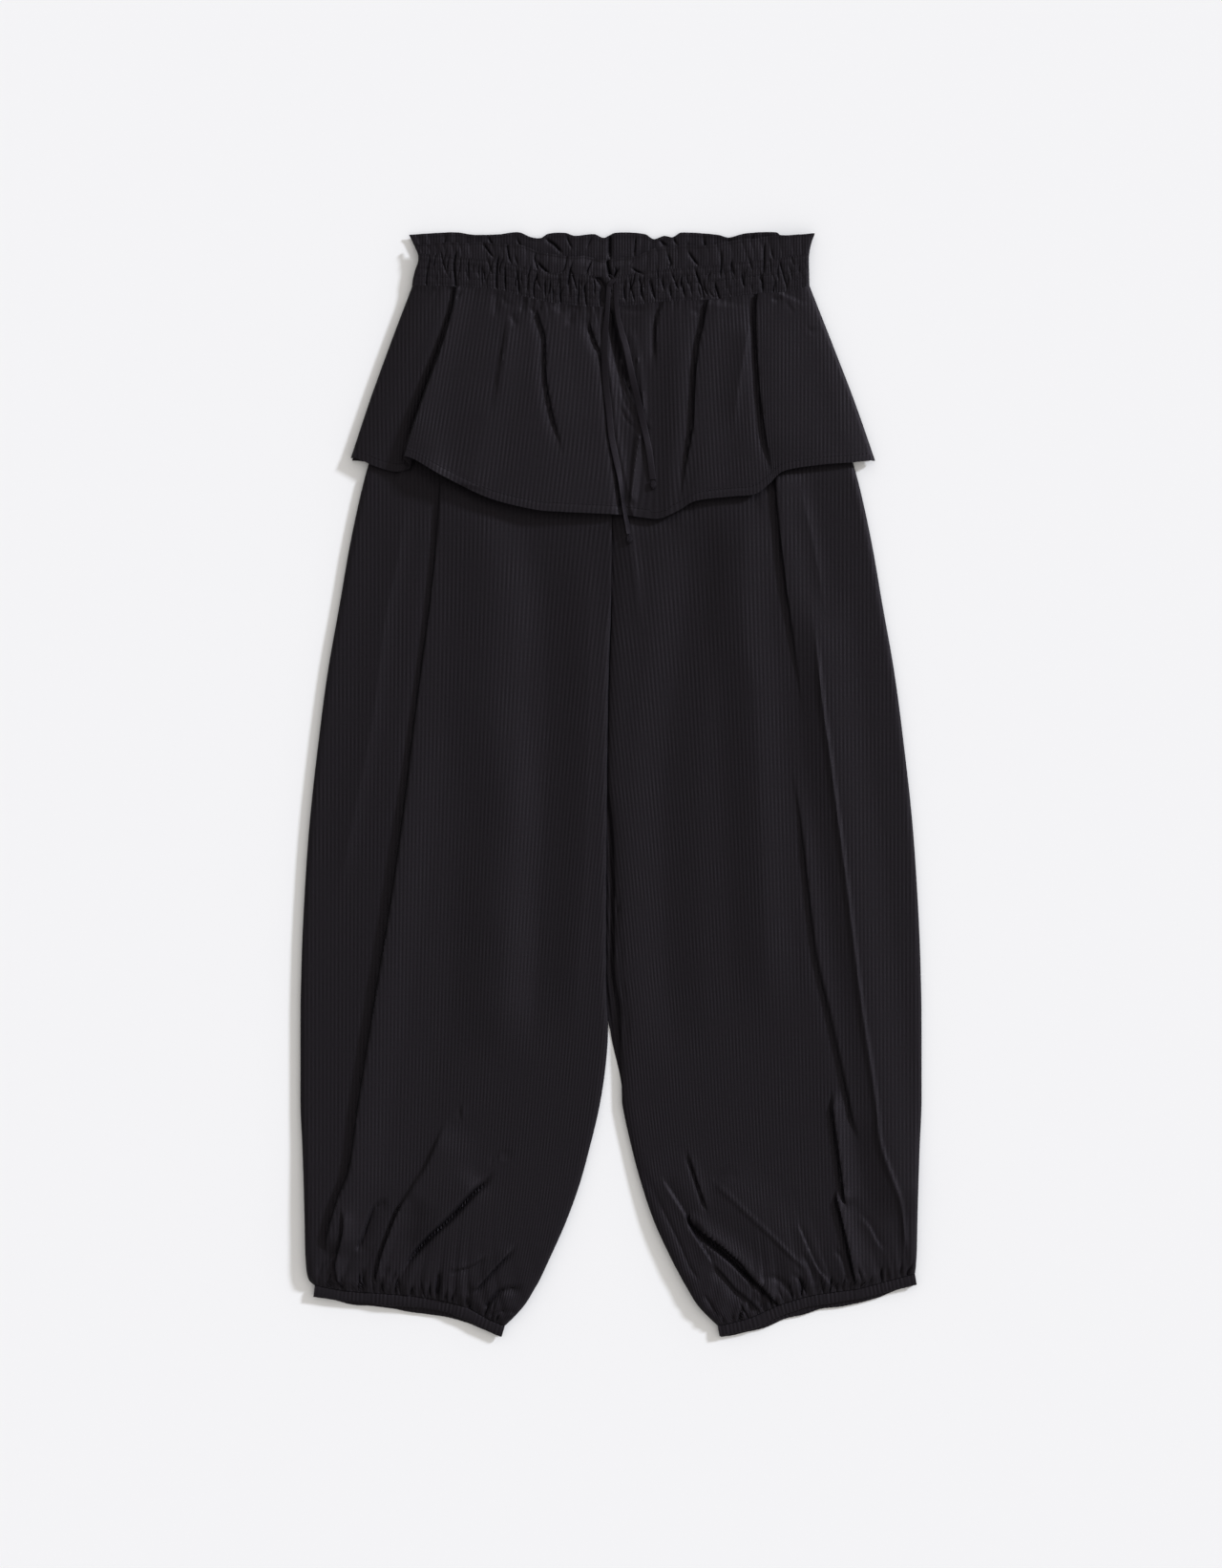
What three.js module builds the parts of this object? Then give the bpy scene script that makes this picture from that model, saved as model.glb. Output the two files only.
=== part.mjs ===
// Peplum waist trousers, laid flat on a table with the front up.
// Millimetres. +X points to the wearer's left leg, +Y to the waist, +Z up from the table.
// The order from the table up is: back peplum, back legs, front legs, front peplum, drawstring.
// Every cloth piece is a wall built round a middle surface, so it is a closed solid of its own.
import * as THREE from 'three';

// ---------------------------------------------------------------- driving sizes
const WALL = 1.5;            // thickness of a single layer of cloth
const CASING = 2.8;          // thickness of an elastic casing, cloth round elastic
const SEAM_GAP = 0.3;        // space between pieces that are sewn together
const CUFF_HEIGHT = 10;      // height of the elastic casing at the ankle
const BACK_CUFF_DROP = 4.5;  // how far the back cuff hangs below the front one
const EDGE_ROLL = 6;         // width over which a front panel turns down at its edge
const INSEAM_ROLL = 10;      // the same at the inside of the wearer's left leg
const TAPE_WIDTH = 6;        // drawstring tape, laid flat
const TAPE_THICKNESS = 1.4;

// Heights of the middle of each layer above the table.
const BACK_PEPLUM_Z = WALL / 2;
const BACK_LEG_Z = WALL / 2;
const BACK_LEG_ON_PEPLUM = WALL + SEAM_GAP;              // how far the back peplum lifts the back legs
const FRONT_EDGE_Z = WALL + SEAM_GAP + 0.5;              // rim of a rolled edge, over the back panel
const FRONT_LEG_HIDDEN_Z = 4.9;                          // front legs under the peplum
const FRONT_LEG_Z = 6.0;                                 // front legs below the peplum
const FRONT_PEPLUM_Z = 7.2;
const BACK_CASING_Z = CASING / 2;
const FRONT_CASING_Z = 6.2;
const BACK_CUFF_Z = CASING / 2;
const FRONT_CUFF_Z = CASING + SEAM_GAP + CASING / 2;

// Outline of the legs. y is the height up the body, outer the distance of the side seam from the
// middle, centre the place of the line between the legs, gap the space between the two inseams.
const LEG_OUTLINE = [
  { y: 443, outer: 166, centre: 1, gap: 0.5 },
  { y: 400, outer: 178, centre: 1, gap: 0.5 },
  { y: 340, outer: 197, centre: 1, gap: 0.5 },
  { y: 281, outer: 216.5, centre: 1.3, gap: 0.5 },
  { y: 221, outer: 230.5, centre: 1, gap: 0.5 },
  { y: 153, outer: 242.5, centre: 0.2, gap: 0.5 },
  { y: 102, outer: 251.5, centre: -1.5, gap: 0.5 },
  { y: 51, outer: 258.5, centre: -2.5, gap: 0.5 },
  { y: -34, outer: 268, centre: -3.4, gap: 0.5 },
  { y: -119, outer: 273.7, centre: -4, gap: 0.5 },
  { y: -185, outer: 276, centre: -3.8, gap: 0.5 },
  { y: -220, outer: 276.3, centre: -1.6, gap: 1.8 },
  { y: -255, outer: 276.3, centre: 0, gap: 10.2 },
  { y: -289, outer: 276.2, centre: 0, gap: 21 },
  { y: -323, outer: 274.6, centre: -0.3, gap: 36.5 },
  { y: -357, outer: 273.4, centre: -0.4, gap: 55 },
  { y: -391, outer: 272.5, centre: -0.8, gap: 79 },
  { y: -425, outer: 271.5, centre: -0.5, gap: 110 },
  { y: -442, outer: 268.6, centre: 0, gap: 127 },
  { y: -449, outer: 261, centre: 0, gap: 135 },
  { y: -465, outer: 250, centre: 0, gap: 155 },
  { y: -483, outer: 245, centre: 0.3, gap: 190 },
  { y: -500, outer: 240, centre: 0.3, gap: 230 },
];
const CROTCH_Y = 156;

// How far the edge of the wearer's left front panel lies back from the inseam, where the leg turns
// under and a strip of its back shows between the legs.
const LEFT_OPENING = [
  { y: 20, width: 0 }, { y: -7, width: 0.8 }, { y: -38, width: 4.5 }, { y: -88, width: 6.6 },
  { y: -126, width: 6.8 }, { y: -170, width: 6.9 }, { y: -195, width: 10.3 }, { y: -217, width: 9.5 },
  { y: -238, width: 6.3 }, { y: -263, width: 3 }, { y: -285, width: 0 },
];

// The seam between each leg and its cuff. reach is the distance from the middle.
const CUFF_SEAM = {
  right: [
    { reach: 95, y: -482.4 }, { reach: 112, y: -474.5 }, { reach: 127, y: -466.7 },
    { reach: 149, y: -460.3 }, { reach: 178, y: -455.8 }, { reach: 210, y: -453.2 },
    { reach: 237, y: -451 }, { reach: 262, y: -446.5 },
  ],
  left: [
    { reach: 96, y: -482.4 }, { reach: 124, y: -475 }, { reach: 140, y: -468 },
    { reach: 155, y: -462 }, { reach: 181, y: -455 }, { reach: 219, y: -449.5 },
    { reach: 238, y: -444.6 }, { reach: 270, y: -436 },
  ],
};

// Long folds of the front legs. Each follows the points of its line. height is its rise (a trough
// falls), wl and wr the widths of its flanks at smaller and larger x, fade how softly its ends run out.
const LEG_FOLDS = {
  right: [
    { name: 'long step fold', height: 3.6, wl: 16, wr: 55, fade: 60,
      line: [[-152, 263], [-156, 213], [-164, 137], [-177, 24], [-184, -31], [-200, -145],
        [-218, -254], [-234, -343], [-250, -412], [-257, -432]] },
    { name: 'ridge in the middle', height: 1.6, wl: 26, wr: 40, fade: 60,
      line: [[-118, 226], [-107, 137], [-103, 0], [-101, -125], [-103, -248]] },
    { name: 'shallow trough', height: -1.2, wl: 30, wr: 30, fade: 80,
      line: [[-52, 180], [-50, 0], [-58, -160], [-62, -250]] },
    { name: 'diagonal tuck at the cuff', height: 4.2, wl: 15, wr: 24, fade: 26,
      line: [[-100, -330], [-112, -355], [-135, -380], [-158, -402], [-178, -422], [-190, -446]] },
    { name: 'fold over the cuff end', height: 2.6, wl: 10, wr: 20, fade: 20,
      line: [[-196, -370], [-212, -388], [-222, -412], [-232, -440]] },
    { name: 'tuck at the inseam', height: 2.8, wl: 12, wr: 18, fade: 20,
      line: [[-82, -408], [-98, -432], [-118, -452], [-128, -466]] },
  ],
  left: [
    { name: 'long step fold', height: 3.0, wl: 16, wr: 50, fade: 60,
      line: [[147, 263], [151, 212], [159, 145], [165, 89], [171, 34], [178, -10]] },
    { name: 'long ridge', height: 3.2, wl: 22, wr: 15, fade: 60,
      line: [[173, 240], [182, 150], [188, 60], [200, -31], [211, -111], [224, -205],
        [237, -310], [255, -370], [261, -418]] },
    { name: 'valley beside the ridge', height: -1.8, wl: 14, wr: 14, fade: 60,
      line: [[159, 18], [168, -36], [180, -135], [193, -207], [210, -288], [218, -320]] },
    { name: 'diagonal tuck at the cuff', height: 4.2, wl: 24, wr: 14, fade: 26,
      line: [[67, -375], [80, -396], [105, -412], [120, -428], [135, -448], [150, -462]] },
    { name: 'second diagonal', height: 2.6, wl: 18, wr: 24, fade: 26,
      line: [[90, -352], [108, -368], [130, -388], [150, -410], [172, -434]] },
    { name: 'fold over the cuff', height: 2.6, wl: 14, wr: 14, fade: 20,
      line: [[198, -367], [206, -395], [214, -418], [226, -440]] },
  ],
};

// Front waistband. bottom and top are the two seams of the casing, heading the free top edge.
const FRONT_BAND = [
  { x: -177, bottom: 442.5, top: 470.5, heading: 478 },
  { x: -128, bottom: 440.3, top: 466, heading: 480 },
  { x: -100, bottom: 438.5, top: 463.3, heading: 479.5 },
  { x: -82, bottom: 433.5, top: 459.5, heading: 477.5 },
  { x: -58, bottom: 427.5, top: 454, heading: 471 },
  { x: -27, bottom: 423.5, top: 451.4, heading: 467.5 },
  { x: 0, bottom: 423, top: 449, heading: 466 },
  { x: 22, bottom: 424.5, top: 452.5, heading: 469 },
  { x: 46, bottom: 427.5, top: 455.6, heading: 475.5 },
  { x: 90, bottom: 429.5, top: 459.7, heading: 478.5 },
  { x: 124, bottom: 434, top: 463.5, heading: 483.5 },
  { x: 160, bottom: 437, top: 467.5, heading: 487 },
  { x: 177, bottom: 442.5, top: 470.5, heading: 488 },
];
const BACK_BAND = [
  { x: -177, bottom: 443.5, top: 471, heading: 487.5 },
  { x: 0, bottom: 443.5, top: 471, heading: 489.5 },
  { x: 177, bottom: 443.5, top: 471, heading: 488 },
];
const BAND_HALF_WIDTH = 177;
const HEADING_FLARE = 4;        // how far the heading spreads past the casing at each end
const GATHERS_FRONT = 44;       // gathers round the front of the casing
const HEADING_WAVES = 17;       // waves along the front heading

// Rails of the front peplum, from the wearer's right side to the left. Each rail runs from the seam
// to the hem: seam, high, low and hem are its x at those four levels, edge is the y of the hem there,
// and rise1, rise2 and rise3 are its height over the flat peplum at the last three levels.
const PEPLUM_RAILS = [
  { name: 'right edge', seam: -176.5, high: -196, low: -214.5, hem: -231.5,
    edge: 289, rise1: 0, rise2: 0, rise3: 0 },
  { name: 'right field', seam: -160, high: -176, low: -193, hem: -209,
    edge: 281, rise1: 0, rise2: 0, rise3: 0.3 },
  { name: 'before the tuck', seam: -144, high: -160, low: -177, hem: -192,
    edge: 276.5, rise1: 0, rise2: 0.2, rise3: 0.8 },
  { name: 'tuck, under', seam: -132, high: -147, low: -163, hem: -181,
    edge: 278.5, rise1: 0.4, rise2: 0.6, rise3: 1.2 },
  { name: 'tuck, turn', seam: -131.5, high: -145.5, low: -161, hem: -179,
    edge: 281, rise1: 1.4, rise2: 2.2, rise3: 3 },
  { name: 'tuck, edge', seam: -132, high: -149, low: -166, hem: -182,
    edge: 289, rise1: 3, rise2: 5.2, rise3: 6.5 },
  { name: 'tuck, crest', seam: -127, high: -144, low: -159, hem: -170,
    edge: 286.5, rise1: 3.4, rise2: 6.6, rise3: 9 },
  { name: 'slope', seam: -115, high: -127, low: -137, hem: -146,
    edge: 271.5, rise1: 1.6, rise2: 3.6, rise3: 5 },
  { name: 'wide field', seam: -95, high: -100, low: -104, hem: -108,
    edge: 252.5, rise1: 0.6, rise2: 1.2, rise3: 1.4 },
  { name: 'before fold two', seam: -74, high: -71, low: -69, hem: -66,
    edge: 242.5, rise1: 0.4, rise2: 0.6, rise3: 0.8 },
  { name: 'fold two', seam: -65, high: -57.5, low: -54, hem: -44,
    edge: 240.5, rise1: 0, rise2: 0.2, rise3: 0.6 },
  { name: 'fold two, crest', seam: -57, high: -50, low: -43, hem: -28,
    edge: 239.7, rise1: 1.8, rise2: 2.2, rise3: 1.8 },
  { name: 'fold three', seam: -22, high: -8.5, low: -2, hem: 11,
    edge: 238, rise1: 0, rise2: 0, rise3: 0.6 },
  { name: 'fold three, crest', seam: -10, high: 4, low: 12, hem: 22,
    edge: 236, rise1: 2.2, rise2: 3, rise3: 3.2 },
  { name: 'fold four', seam: 45, high: 40, low: 40, hem: 41,
    edge: 234.5, rise1: 0.2, rise2: 0.6, rise3: 1.6 },
  { name: 'fold four, crest', seam: 58, high: 56, low: 55, hem: 51,
    edge: 237.5, rise1: 1.4, rise2: 1.8, rise3: 2.4 },
  { name: 'fold five', seam: 86, high: 78, low: 73.5, hem: 62,
    edge: 243, rise1: 0, rise2: 0, rise3: 0.4 },
  { name: 'fold five, crest', seam: 95, high: 88, low: 84, hem: 74,
    edge: 250.5, rise1: 1.8, rise2: 2.8, rise3: 3.6 },
  { name: 'left middle field', seam: 110, high: 105, low: 101, hem: 104,
    edge: 254.2, rise1: 1, rise2: 1.2, rise3: 1.6 },
  { name: 'before fold six', seam: 124, high: 121, low: 117, hem: 128,
    edge: 256.5, rise1: 2, rise2: 2.8, rise3: 3 },
  { name: 'fold six', seam: 133, high: 130, low: 131.5, hem: 142,
    edge: 267, rise1: 0, rise2: 0, rise3: 0.4 },
  { name: 'fold six, crest', seam: 142, high: 142, low: 146, hem: 154,
    edge: 277, rise1: 1.2, rise2: 1.6, rise3: 2.2 },
  { name: 'left field', seam: 156, high: 164, low: 175, hem: 186,
    edge: 282.5, rise1: 0.3, rise2: 0.6, rise3: 1 },
  { name: 'by the left edge', seam: 168, high: 183, low: 199, hem: 213,
    edge: 284.6, rise1: 0, rise2: 0, rise3: 0.3 },
  { name: 'left edge', seam: 176.5, high: 197, low: 217, hem: 235,
    edge: 286.5, rise1: 0, rise2: 0, rise3: 0 },
];
const PEPLUM_BACK_HEM = { middle: 262, side: 287, straightTo: 140, endsAt: 232 };

// Free ends of the drawstring, chosen by hand, from the crossing at the waist to the end knots.
const STRAND_RIGHT = [
  [-2.1, 441, 9.3], [-2.8, 427, 9.3], [-3.8, 414, 9.6], [-5.2, 399, 10.2], [-5.7, 378, 10.5],
  [-4.8, 357, 10.5], [-2, 333, 10.6], [0.5, 308, 10.7], [4.5, 288, 11], [8.2, 271, 11.2], [10, 257, 11.2],
  [12, 243, 11.2], [13.6, 234, 10.6], [15, 226, 8.6], [15.9, 221.5, 8.2],
];
const STRAND_LEFT = [
  [4.3, 441, 9.3], [4.7, 427, 9.3], [6.2, 414, 9.6], [9.6, 400, 10.1], [13.8, 385, 10.5],
  [18.6, 362, 10.9], [24.5, 337, 11], [29.6, 315, 11], [33.8, 295, 11], [36.3, 276, 11], [37, 269.5, 11],
];
const WAIST_KNOT = { x: 1, y: 446.2, z: 10.6, width: 12, height: 9, depth: 4.4 };
const END_KNOT = { width: 6.5, height: 9, depth: 3.4 };
const END_KNOT_PLACES = { right: { x: 16.2, y: 216.5, z: 8.6 }, left: { x: 37.3, y: 264.5, z: 11.9 } };

// ---------------------------------------------------------------- finishes
const CLOTH = new THREE.MeshStandardMaterial({
  name: 'ribbed_cloth', color: 0x232123, roughness: 0.62, metalness: 0,
});
const TAPE = new THREE.MeshStandardMaterial({
  name: 'drawstring_tape', color: 0x1f1d1f, roughness: 0.7, metalness: 0,
});

// ---------------------------------------------------------------- small helpers
const clamp = (value) => Math.min(1, Math.max(0, value));
const mix = (a, b, t) => a + (b - a) * t;
const smooth = (from, to, value) => {
  const t = clamp((value - from) / (to - from));
  return t * t * (3 - 2 * t);
};

// Reads one column of a table at any place along another column, as a smooth curve through the rows.
function along(table, by, want) {
  const rows = [...table].sort((a, b) => a[by] - b[by]);
  const slope = rows.map((row, i) => {
    const before = rows[Math.max(0, i - 1)];
    const after = rows[Math.min(rows.length - 1, i + 1)];
    return (after[want] - before[want]) / (after[by] - before[by]);
  });
  return (place) => {
    const at = Math.min(rows[rows.length - 1][by], Math.max(rows[0][by], place));
    let i = 0;
    while (i < rows.length - 2 && at > rows[i + 1][by]) i += 1;
    const step = rows[i + 1][by] - rows[i][by];
    const t = (at - rows[i][by]) / step;
    const start = (1 + 2 * t) * (1 - t) ** 2 * rows[i][want] + t * (1 - t) ** 2 * step * slope[i];
    const end = t * t * (3 - 2 * t) * rows[i + 1][want] + t * t * (t - 1) * step * slope[i + 1];
    return start + end;
  };
}

// Makes a closed wall round a grid of middle points, rows[i][j] being a Vector3. flat walls get
// their thickness straight up and down, so that their underside stays level.
function wall(name, rows, thickness, material, flat = false) {
  const lines = rows.length;
  const columns = rows[0].length;
  const along1 = new THREE.Vector3();
  const along2 = new THREE.Vector3();
  const vertices = [];
  for (const side of [0.5, -0.5]) {
    for (let i = 0; i < lines; i += 1) {
      for (let j = 0; j < columns; j += 1) {
        along1.subVectors(rows[i][Math.min(columns - 1, j + 1)], rows[i][Math.max(0, j - 1)]);
        along2.subVectors(rows[Math.min(lines - 1, i + 1)][j], rows[Math.max(0, i - 1)][j]);
        const normal = flat ? new THREE.Vector3(0, 0, 1) : along1.clone().cross(along2).normalize();
        const point = rows[i][j].clone().addScaledVector(normal, side * thickness);
        vertices.push(point.x, point.y, point.z);
      }
    }
  }
  const under = lines * columns;
  const faces = [];
  const quad = (a, b, c, d) => faces.push(a, b, c, a, c, d);
  for (let i = 0; i < lines - 1; i += 1) {
    for (let j = 0; j < columns - 1; j += 1) {
      const a = i * columns + j;
      quad(a, a + 1, a + columns + 1, a + columns);
      quad(under + a + columns, under + a + columns + 1, under + a + 1, under + a);
    }
  }
  const last = (lines - 1) * columns;
  for (let j = 0; j < columns - 1; j += 1) {
    quad(under + j, under + j + 1, j + 1, j);
    quad(last + j, last + j + 1, under + last + j + 1, under + last + j);
  }
  for (let i = 0; i < lines - 1; i += 1) {
    const a = i * columns;
    const b = a + columns - 1;
    quad(a, a + columns, under + a + columns, under + a);
    quad(under + b, under + b + columns, b + columns, b);
  }
  return closed(name, vertices, faces, material);
}

// Turns points and faces into a mesh whose faces point outwards.
function closed(name, vertices, faces, material) {
  const corner = (index) => new THREE.Vector3().fromArray(vertices, 3 * index);
  let volume = 0;
  for (let i = 0; i < faces.length; i += 3) {
    volume += corner(faces[i]).dot(corner(faces[i + 1]).cross(corner(faces[i + 2])));
  }
  const geometry = new THREE.BufferGeometry();
  geometry.setAttribute('position', new THREE.Float32BufferAttribute(vertices, 3));
  geometry.setIndex(volume < 0 ? faces.reverse() : faces);
  geometry.computeVertexNormals();
  const mesh = new THREE.Mesh(geometry, material);
  mesh.name = name;
  return mesh;
}

// ---------------------------------------------------------------- legs
const outerAt = along(LEG_OUTLINE, 'y', 'outer');
const centreAt = along(LEG_OUTLINE, 'y', 'centre');
const gapAt = along(LEG_OUTLINE, 'y', 'gap');
const bandBottomAt = along(FRONT_BAND, 'x', 'bottom');
const sign = { right: -1, left: 1 };

// The side seam and the inseam of a leg at height y.
const sideX = (side, y) => sign[side] * outerAt(y);
const inseamX = (side, y) => centreAt(y) + sign[side] * gapAt(y) / 2;
const openingAt = along(LEFT_OPENING, 'y', 'width');
const frontInseamX = (side, y) => inseamX(side, y) + (side === 'left' ? openingAt(y) : 0);

// The places across a panel of the given width, from its outer edge to its inner one. A rolled edge
// gets three close columns, and rise tells how far the cloth has come up there, from 0 to 1.
const ROLL_STEPS = 3;
function across(columns, width, rollOuter, rollInner) {
  const places = [];
  for (let j = 0; j <= columns; j += 1) {
    const fromEnd = columns - j;
    const half = WALL / 2;
    if (j < ROLL_STEPS || fromEnd < ROLL_STEPS) {
      const outer = j < ROLL_STEPS;
      const turn = ((outer ? j : fromEnd) / ROLL_STEPS) * (Math.PI / 2);
      const depth = half + (outer ? rollOuter : rollInner) * (1 - Math.cos(turn));
      places.push({ distance: outer ? depth : width - depth, rise: Math.sin(turn), outer });
    } else {
      const t = (j - ROLL_STEPS) / (columns - 2 * ROLL_STEPS);
      places.push({ distance: mix(half + rollOuter, width - half - rollInner, t), rise: 1, outer: t < 0.5 });
    }
  }
  return places;
}

// Height that the long folds add to a leg at (x, y).
function foldRise(folds, x, y) {
  let rise = 0;
  for (const { height, wl, wr, fade, line } of folds) {
    const top = line[0][1];
    const bottom = line[line.length - 1][1];
    if (y < top + fade && y > bottom - fade) {
      const lineX = along(line.map(([px, py]) => ({ x: px, y: py })), 'y', 'x')(y);
      const width = x < lineX ? wl : wr;
      const near = 1 - smooth(0, 1, Math.abs(x - lineX) / width);
      const lower = smooth(bottom - fade / 4, bottom + fade / 2, y);
      const ends = lower * (1 - smooth(top - fade / 2, top + fade, y));
      rise += height * near * ends;
    }
  }
  return rise;
}

// Where a leg's column that starts at a share of its width meets the cuff.
function cuffPoint(side, share) {
  const seamY = along(CUFF_SEAM[side], 'reach', 'y');
  let y = -460;
  for (let i = 0; i < 12; i += 1) {
    y = seamY(Math.abs(mix(sideX(side, y), inseamX(side, y), share)));
  }
  return y;
}

const LEG_COLUMNS = 18;
const LEG_ROWS = 22;
const POUCH = 2.6;           // how much fuller a leg is just above its cuff
const CUFF_DIP = 16;         // length over which the leg comes down to the cuff
const LIFT_EARLY = 45;       // how far below the back peplum a front leg starts to rise over it
const SOLVE_STEPS = 8;       // rounds that settle a point between the two sloping seams

// The lower edge of the back peplum, level in the middle and rising to the side seams.
function backHemAt(x) {
  const { middle, side, straightTo, endsAt } = PEPLUM_BACK_HEM;
  return mix(middle, side, smooth(straightTo, endsAt, Math.abs(x)));
}

// How far the back peplum lifts what lies on it at (x, y).
function backLift(x, y) {
  return BACK_LEG_ON_PEPLUM * smooth(backHemAt(x) - 24, backHemAt(x) - 9, y);
}

function frontLegPoint(side, column, down) {
  const cuffY = along(CUFF_SEAM[side], 'reach', 'y');
  let y = mix(430, -460, down);
  let x = 0;
  let end = 0;
  let rise = 0;
  for (let step = 0; step < SOLVE_STEPS; step += 1) {
    const from = sideX(side, y);
    const rolls = smooth(CROTCH_Y + 10, CROTCH_Y - 25, y);
    const innerRoll = mix(2, side === 'left' ? INSEAM_ROLL : EDGE_ROLL, rolls);
    const width = Math.abs(frontInseamX(side, y) - from);
    const place = across(LEG_COLUMNS, width, EDGE_ROLL, innerRoll)[column];
    x = from - sign[side] * place.distance;
    rise = place.outer ? place.rise : mix(1, place.rise, rolls);
    end = cuffY(Math.abs(x)) + SEAM_GAP;
    y = mix(bandBottomAt(x) - SEAM_GAP, end, down);
  }
  const free = smooth(0, CUFF_DIP, y - end);
  const body = mix(FRONT_LEG_Z, FRONT_LEG_HIDDEN_Z, smooth(190, 235, y));
  const pouch = POUCH * smooth(160, 50, y - end) * free;
  const folds = foldRise(LEG_FOLDS[side], x, y) * smooth(2, CUFF_DIP * 1.5, y - end);
  const level = mix(FRONT_CUFF_Z, body, free) + pouch + folds * (1 - smooth(236, 262, y));
  const rim = mix(FRONT_CUFF_Z - CASING / 4, FRONT_EDGE_Z, free) + backLift(x, y + LIFT_EARLY);
  return new THREE.Vector3(x, y, mix(rim, level, rise));
}

function frontLeg(side) {
  const rows = [];
  for (let i = 0; i <= LEG_ROWS; i += 1) {
    const down = 1 - (1 - i / LEG_ROWS) ** 1.45;
    const row = [];
    for (let j = 0; j <= LEG_COLUMNS; j += 1) row.push(frontLegPoint(side, j, down));
    rows.push(row);
  }
  return rows;
}

const BACK_COLUMNS = 5;
const BACK_LEVELS = [443.2, 400, 350, 300, 288, 280, 272, 264, 256, 248, 240, 232, 190, 130, 60, -20, -100,
  -180, -230, -270, -310, -350];
const BACK_END_SHARES = [0.3, 0.55, 0.78, 1];   // rows from the last level to the cuff

function backLeg(side) {
  const rows = BACK_LEVELS.map((y) => {
    const row = [];
    for (let j = 0; j <= BACK_COLUMNS; j += 1) {
      const x = mix(sideX(side, y), inseamX(side, y), j / BACK_COLUMNS);
      row.push(new THREE.Vector3(x, y, BACK_LEG_Z + backLift(x, y)));
    }
    return row;
  });
  const level = BACK_LEVELS[BACK_LEVELS.length - 1];
  for (const part of BACK_END_SHARES) {
    const row = [];
    for (let j = 0; j <= BACK_COLUMNS; j += 1) {
      const share = j / BACK_COLUMNS;
      const end = cuffPoint(side, share) - BACK_CUFF_DROP * Math.sin(Math.PI * share) + SEAM_GAP;
      const y = mix(level, end, part);
      row.push(new THREE.Vector3(mix(sideX(side, y), inseamX(side, y), share), y, BACK_LEG_Z));
    }
    rows.push(row);
  }
  return rows;
}

const CUFF_STRAIGHTEN = 0.35; // share by which a cuff points down the body and not square to its seam

// An elastic cuff follows the last row of its leg, one gap lower.
function cuff(seam, z, height) {
  const rows = [[], [], []];
  seam.forEach((point, j) => {
    const before = seam[Math.max(0, j - 3)];
    const after = seam[Math.min(seam.length - 1, j + 3)];
    const square = new THREE.Vector3(after.y - before.y, before.x - after.x, 0).normalize();
    if (square.y > 0) square.negate();
    const down = square.lerp(new THREE.Vector3(0, -1, 0), CUFF_STRAIGHTEN).normalize();
    rows.forEach((row, i) => {
      const place = point.clone().addScaledVector(down, 2 * SEAM_GAP + (height * i) / 2);
      row.push(place.setZ(z));
    });
  });
  return rows;
}

// ---------------------------------------------------------------- waistband
const GATHER_DEPTH = 0.5;

function casing(table, z, gathers, flat) {
  const top = along(table, 'x', 'top');
  const bottom = along(table, 'x', 'bottom');
  const rows = [[], [], []];
  for (let j = 0; j <= gathers; j += 1) {
    const x = mix(-BAND_HALF_WIDTH, BAND_HALF_WIDTH, j / gathers);
    const lift = flat ? 0 : GATHER_DEPTH * (j % 2 === 0 ? 1 : -1);
    rows[0].push(new THREE.Vector3(x, top(x), z + lift * 0.4));
    rows[1].push(new THREE.Vector3(x, (top(x) + bottom(x)) / 2, z + lift));
    rows[2].push(new THREE.Vector3(x, bottom(x) + SEAM_GAP, z + lift * 0.4));
  }
  return rows;
}

// The frill over the casing: flat at the seam, waved at its free edge.
function heading(table, z, waves, depth, floor) {
  const top = along(table, 'x', 'top');
  const edge = along(table, 'x', 'heading');
  const columns = waves * 3;
  const levels = [0, 0.4, 1];
  return levels.map((t) => {
    const row = [];
    for (let j = 0; j <= columns; j += 1) {
      const u = j / columns;
      const seamX = mix(-BAND_HALF_WIDTH, BAND_HALF_WIDTH, u);
      const x = seamX + HEADING_FLARE * t * (2 * u - 1);
      const wave = Math.sin(2 * Math.PI * waves * (u + 0.012 * Math.sin(14 * u)));
      const swing = depth * (1 + 0.35 * Math.sin(9 * u + 1)) * wave * t;
      const y = mix(top(seamX) + SEAM_GAP, edge(seamX) + 0.8 * wave, t);
      row.push(new THREE.Vector3(x, y, Math.max(floor, z + swing)));
    }
    return row;
  });
}

// ---------------------------------------------------------------- peplum
const PEPLUM_KEYS = [['seam', null], ['high', 'rise1'], ['low', 'rise2'], ['hem', 'rise3']];
const PEPLUM_ROWS = 7;
const PEPLUM_BETWEEN = 2;    // columns for each space between two rails
const PEPLUM_SIDE = [{ y: 443, x: 177 }, { y: 391, x: 195.5 }, { y: 340, x: 214.5 }, { y: 287, x: 232 }];

// One rail at a share of its length: its x and its height over the flat peplum.
function railAt(rail, down) {
  const rows = PEPLUM_KEYS.map(([place, rise], i) => ({ t: i / 3, x: rail[place], z: rise ? rail[rise] : 0 }));
  return { x: along(rows, 't', 'x')(down), z: along(rows, 't', 'z')(down) };
}

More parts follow.
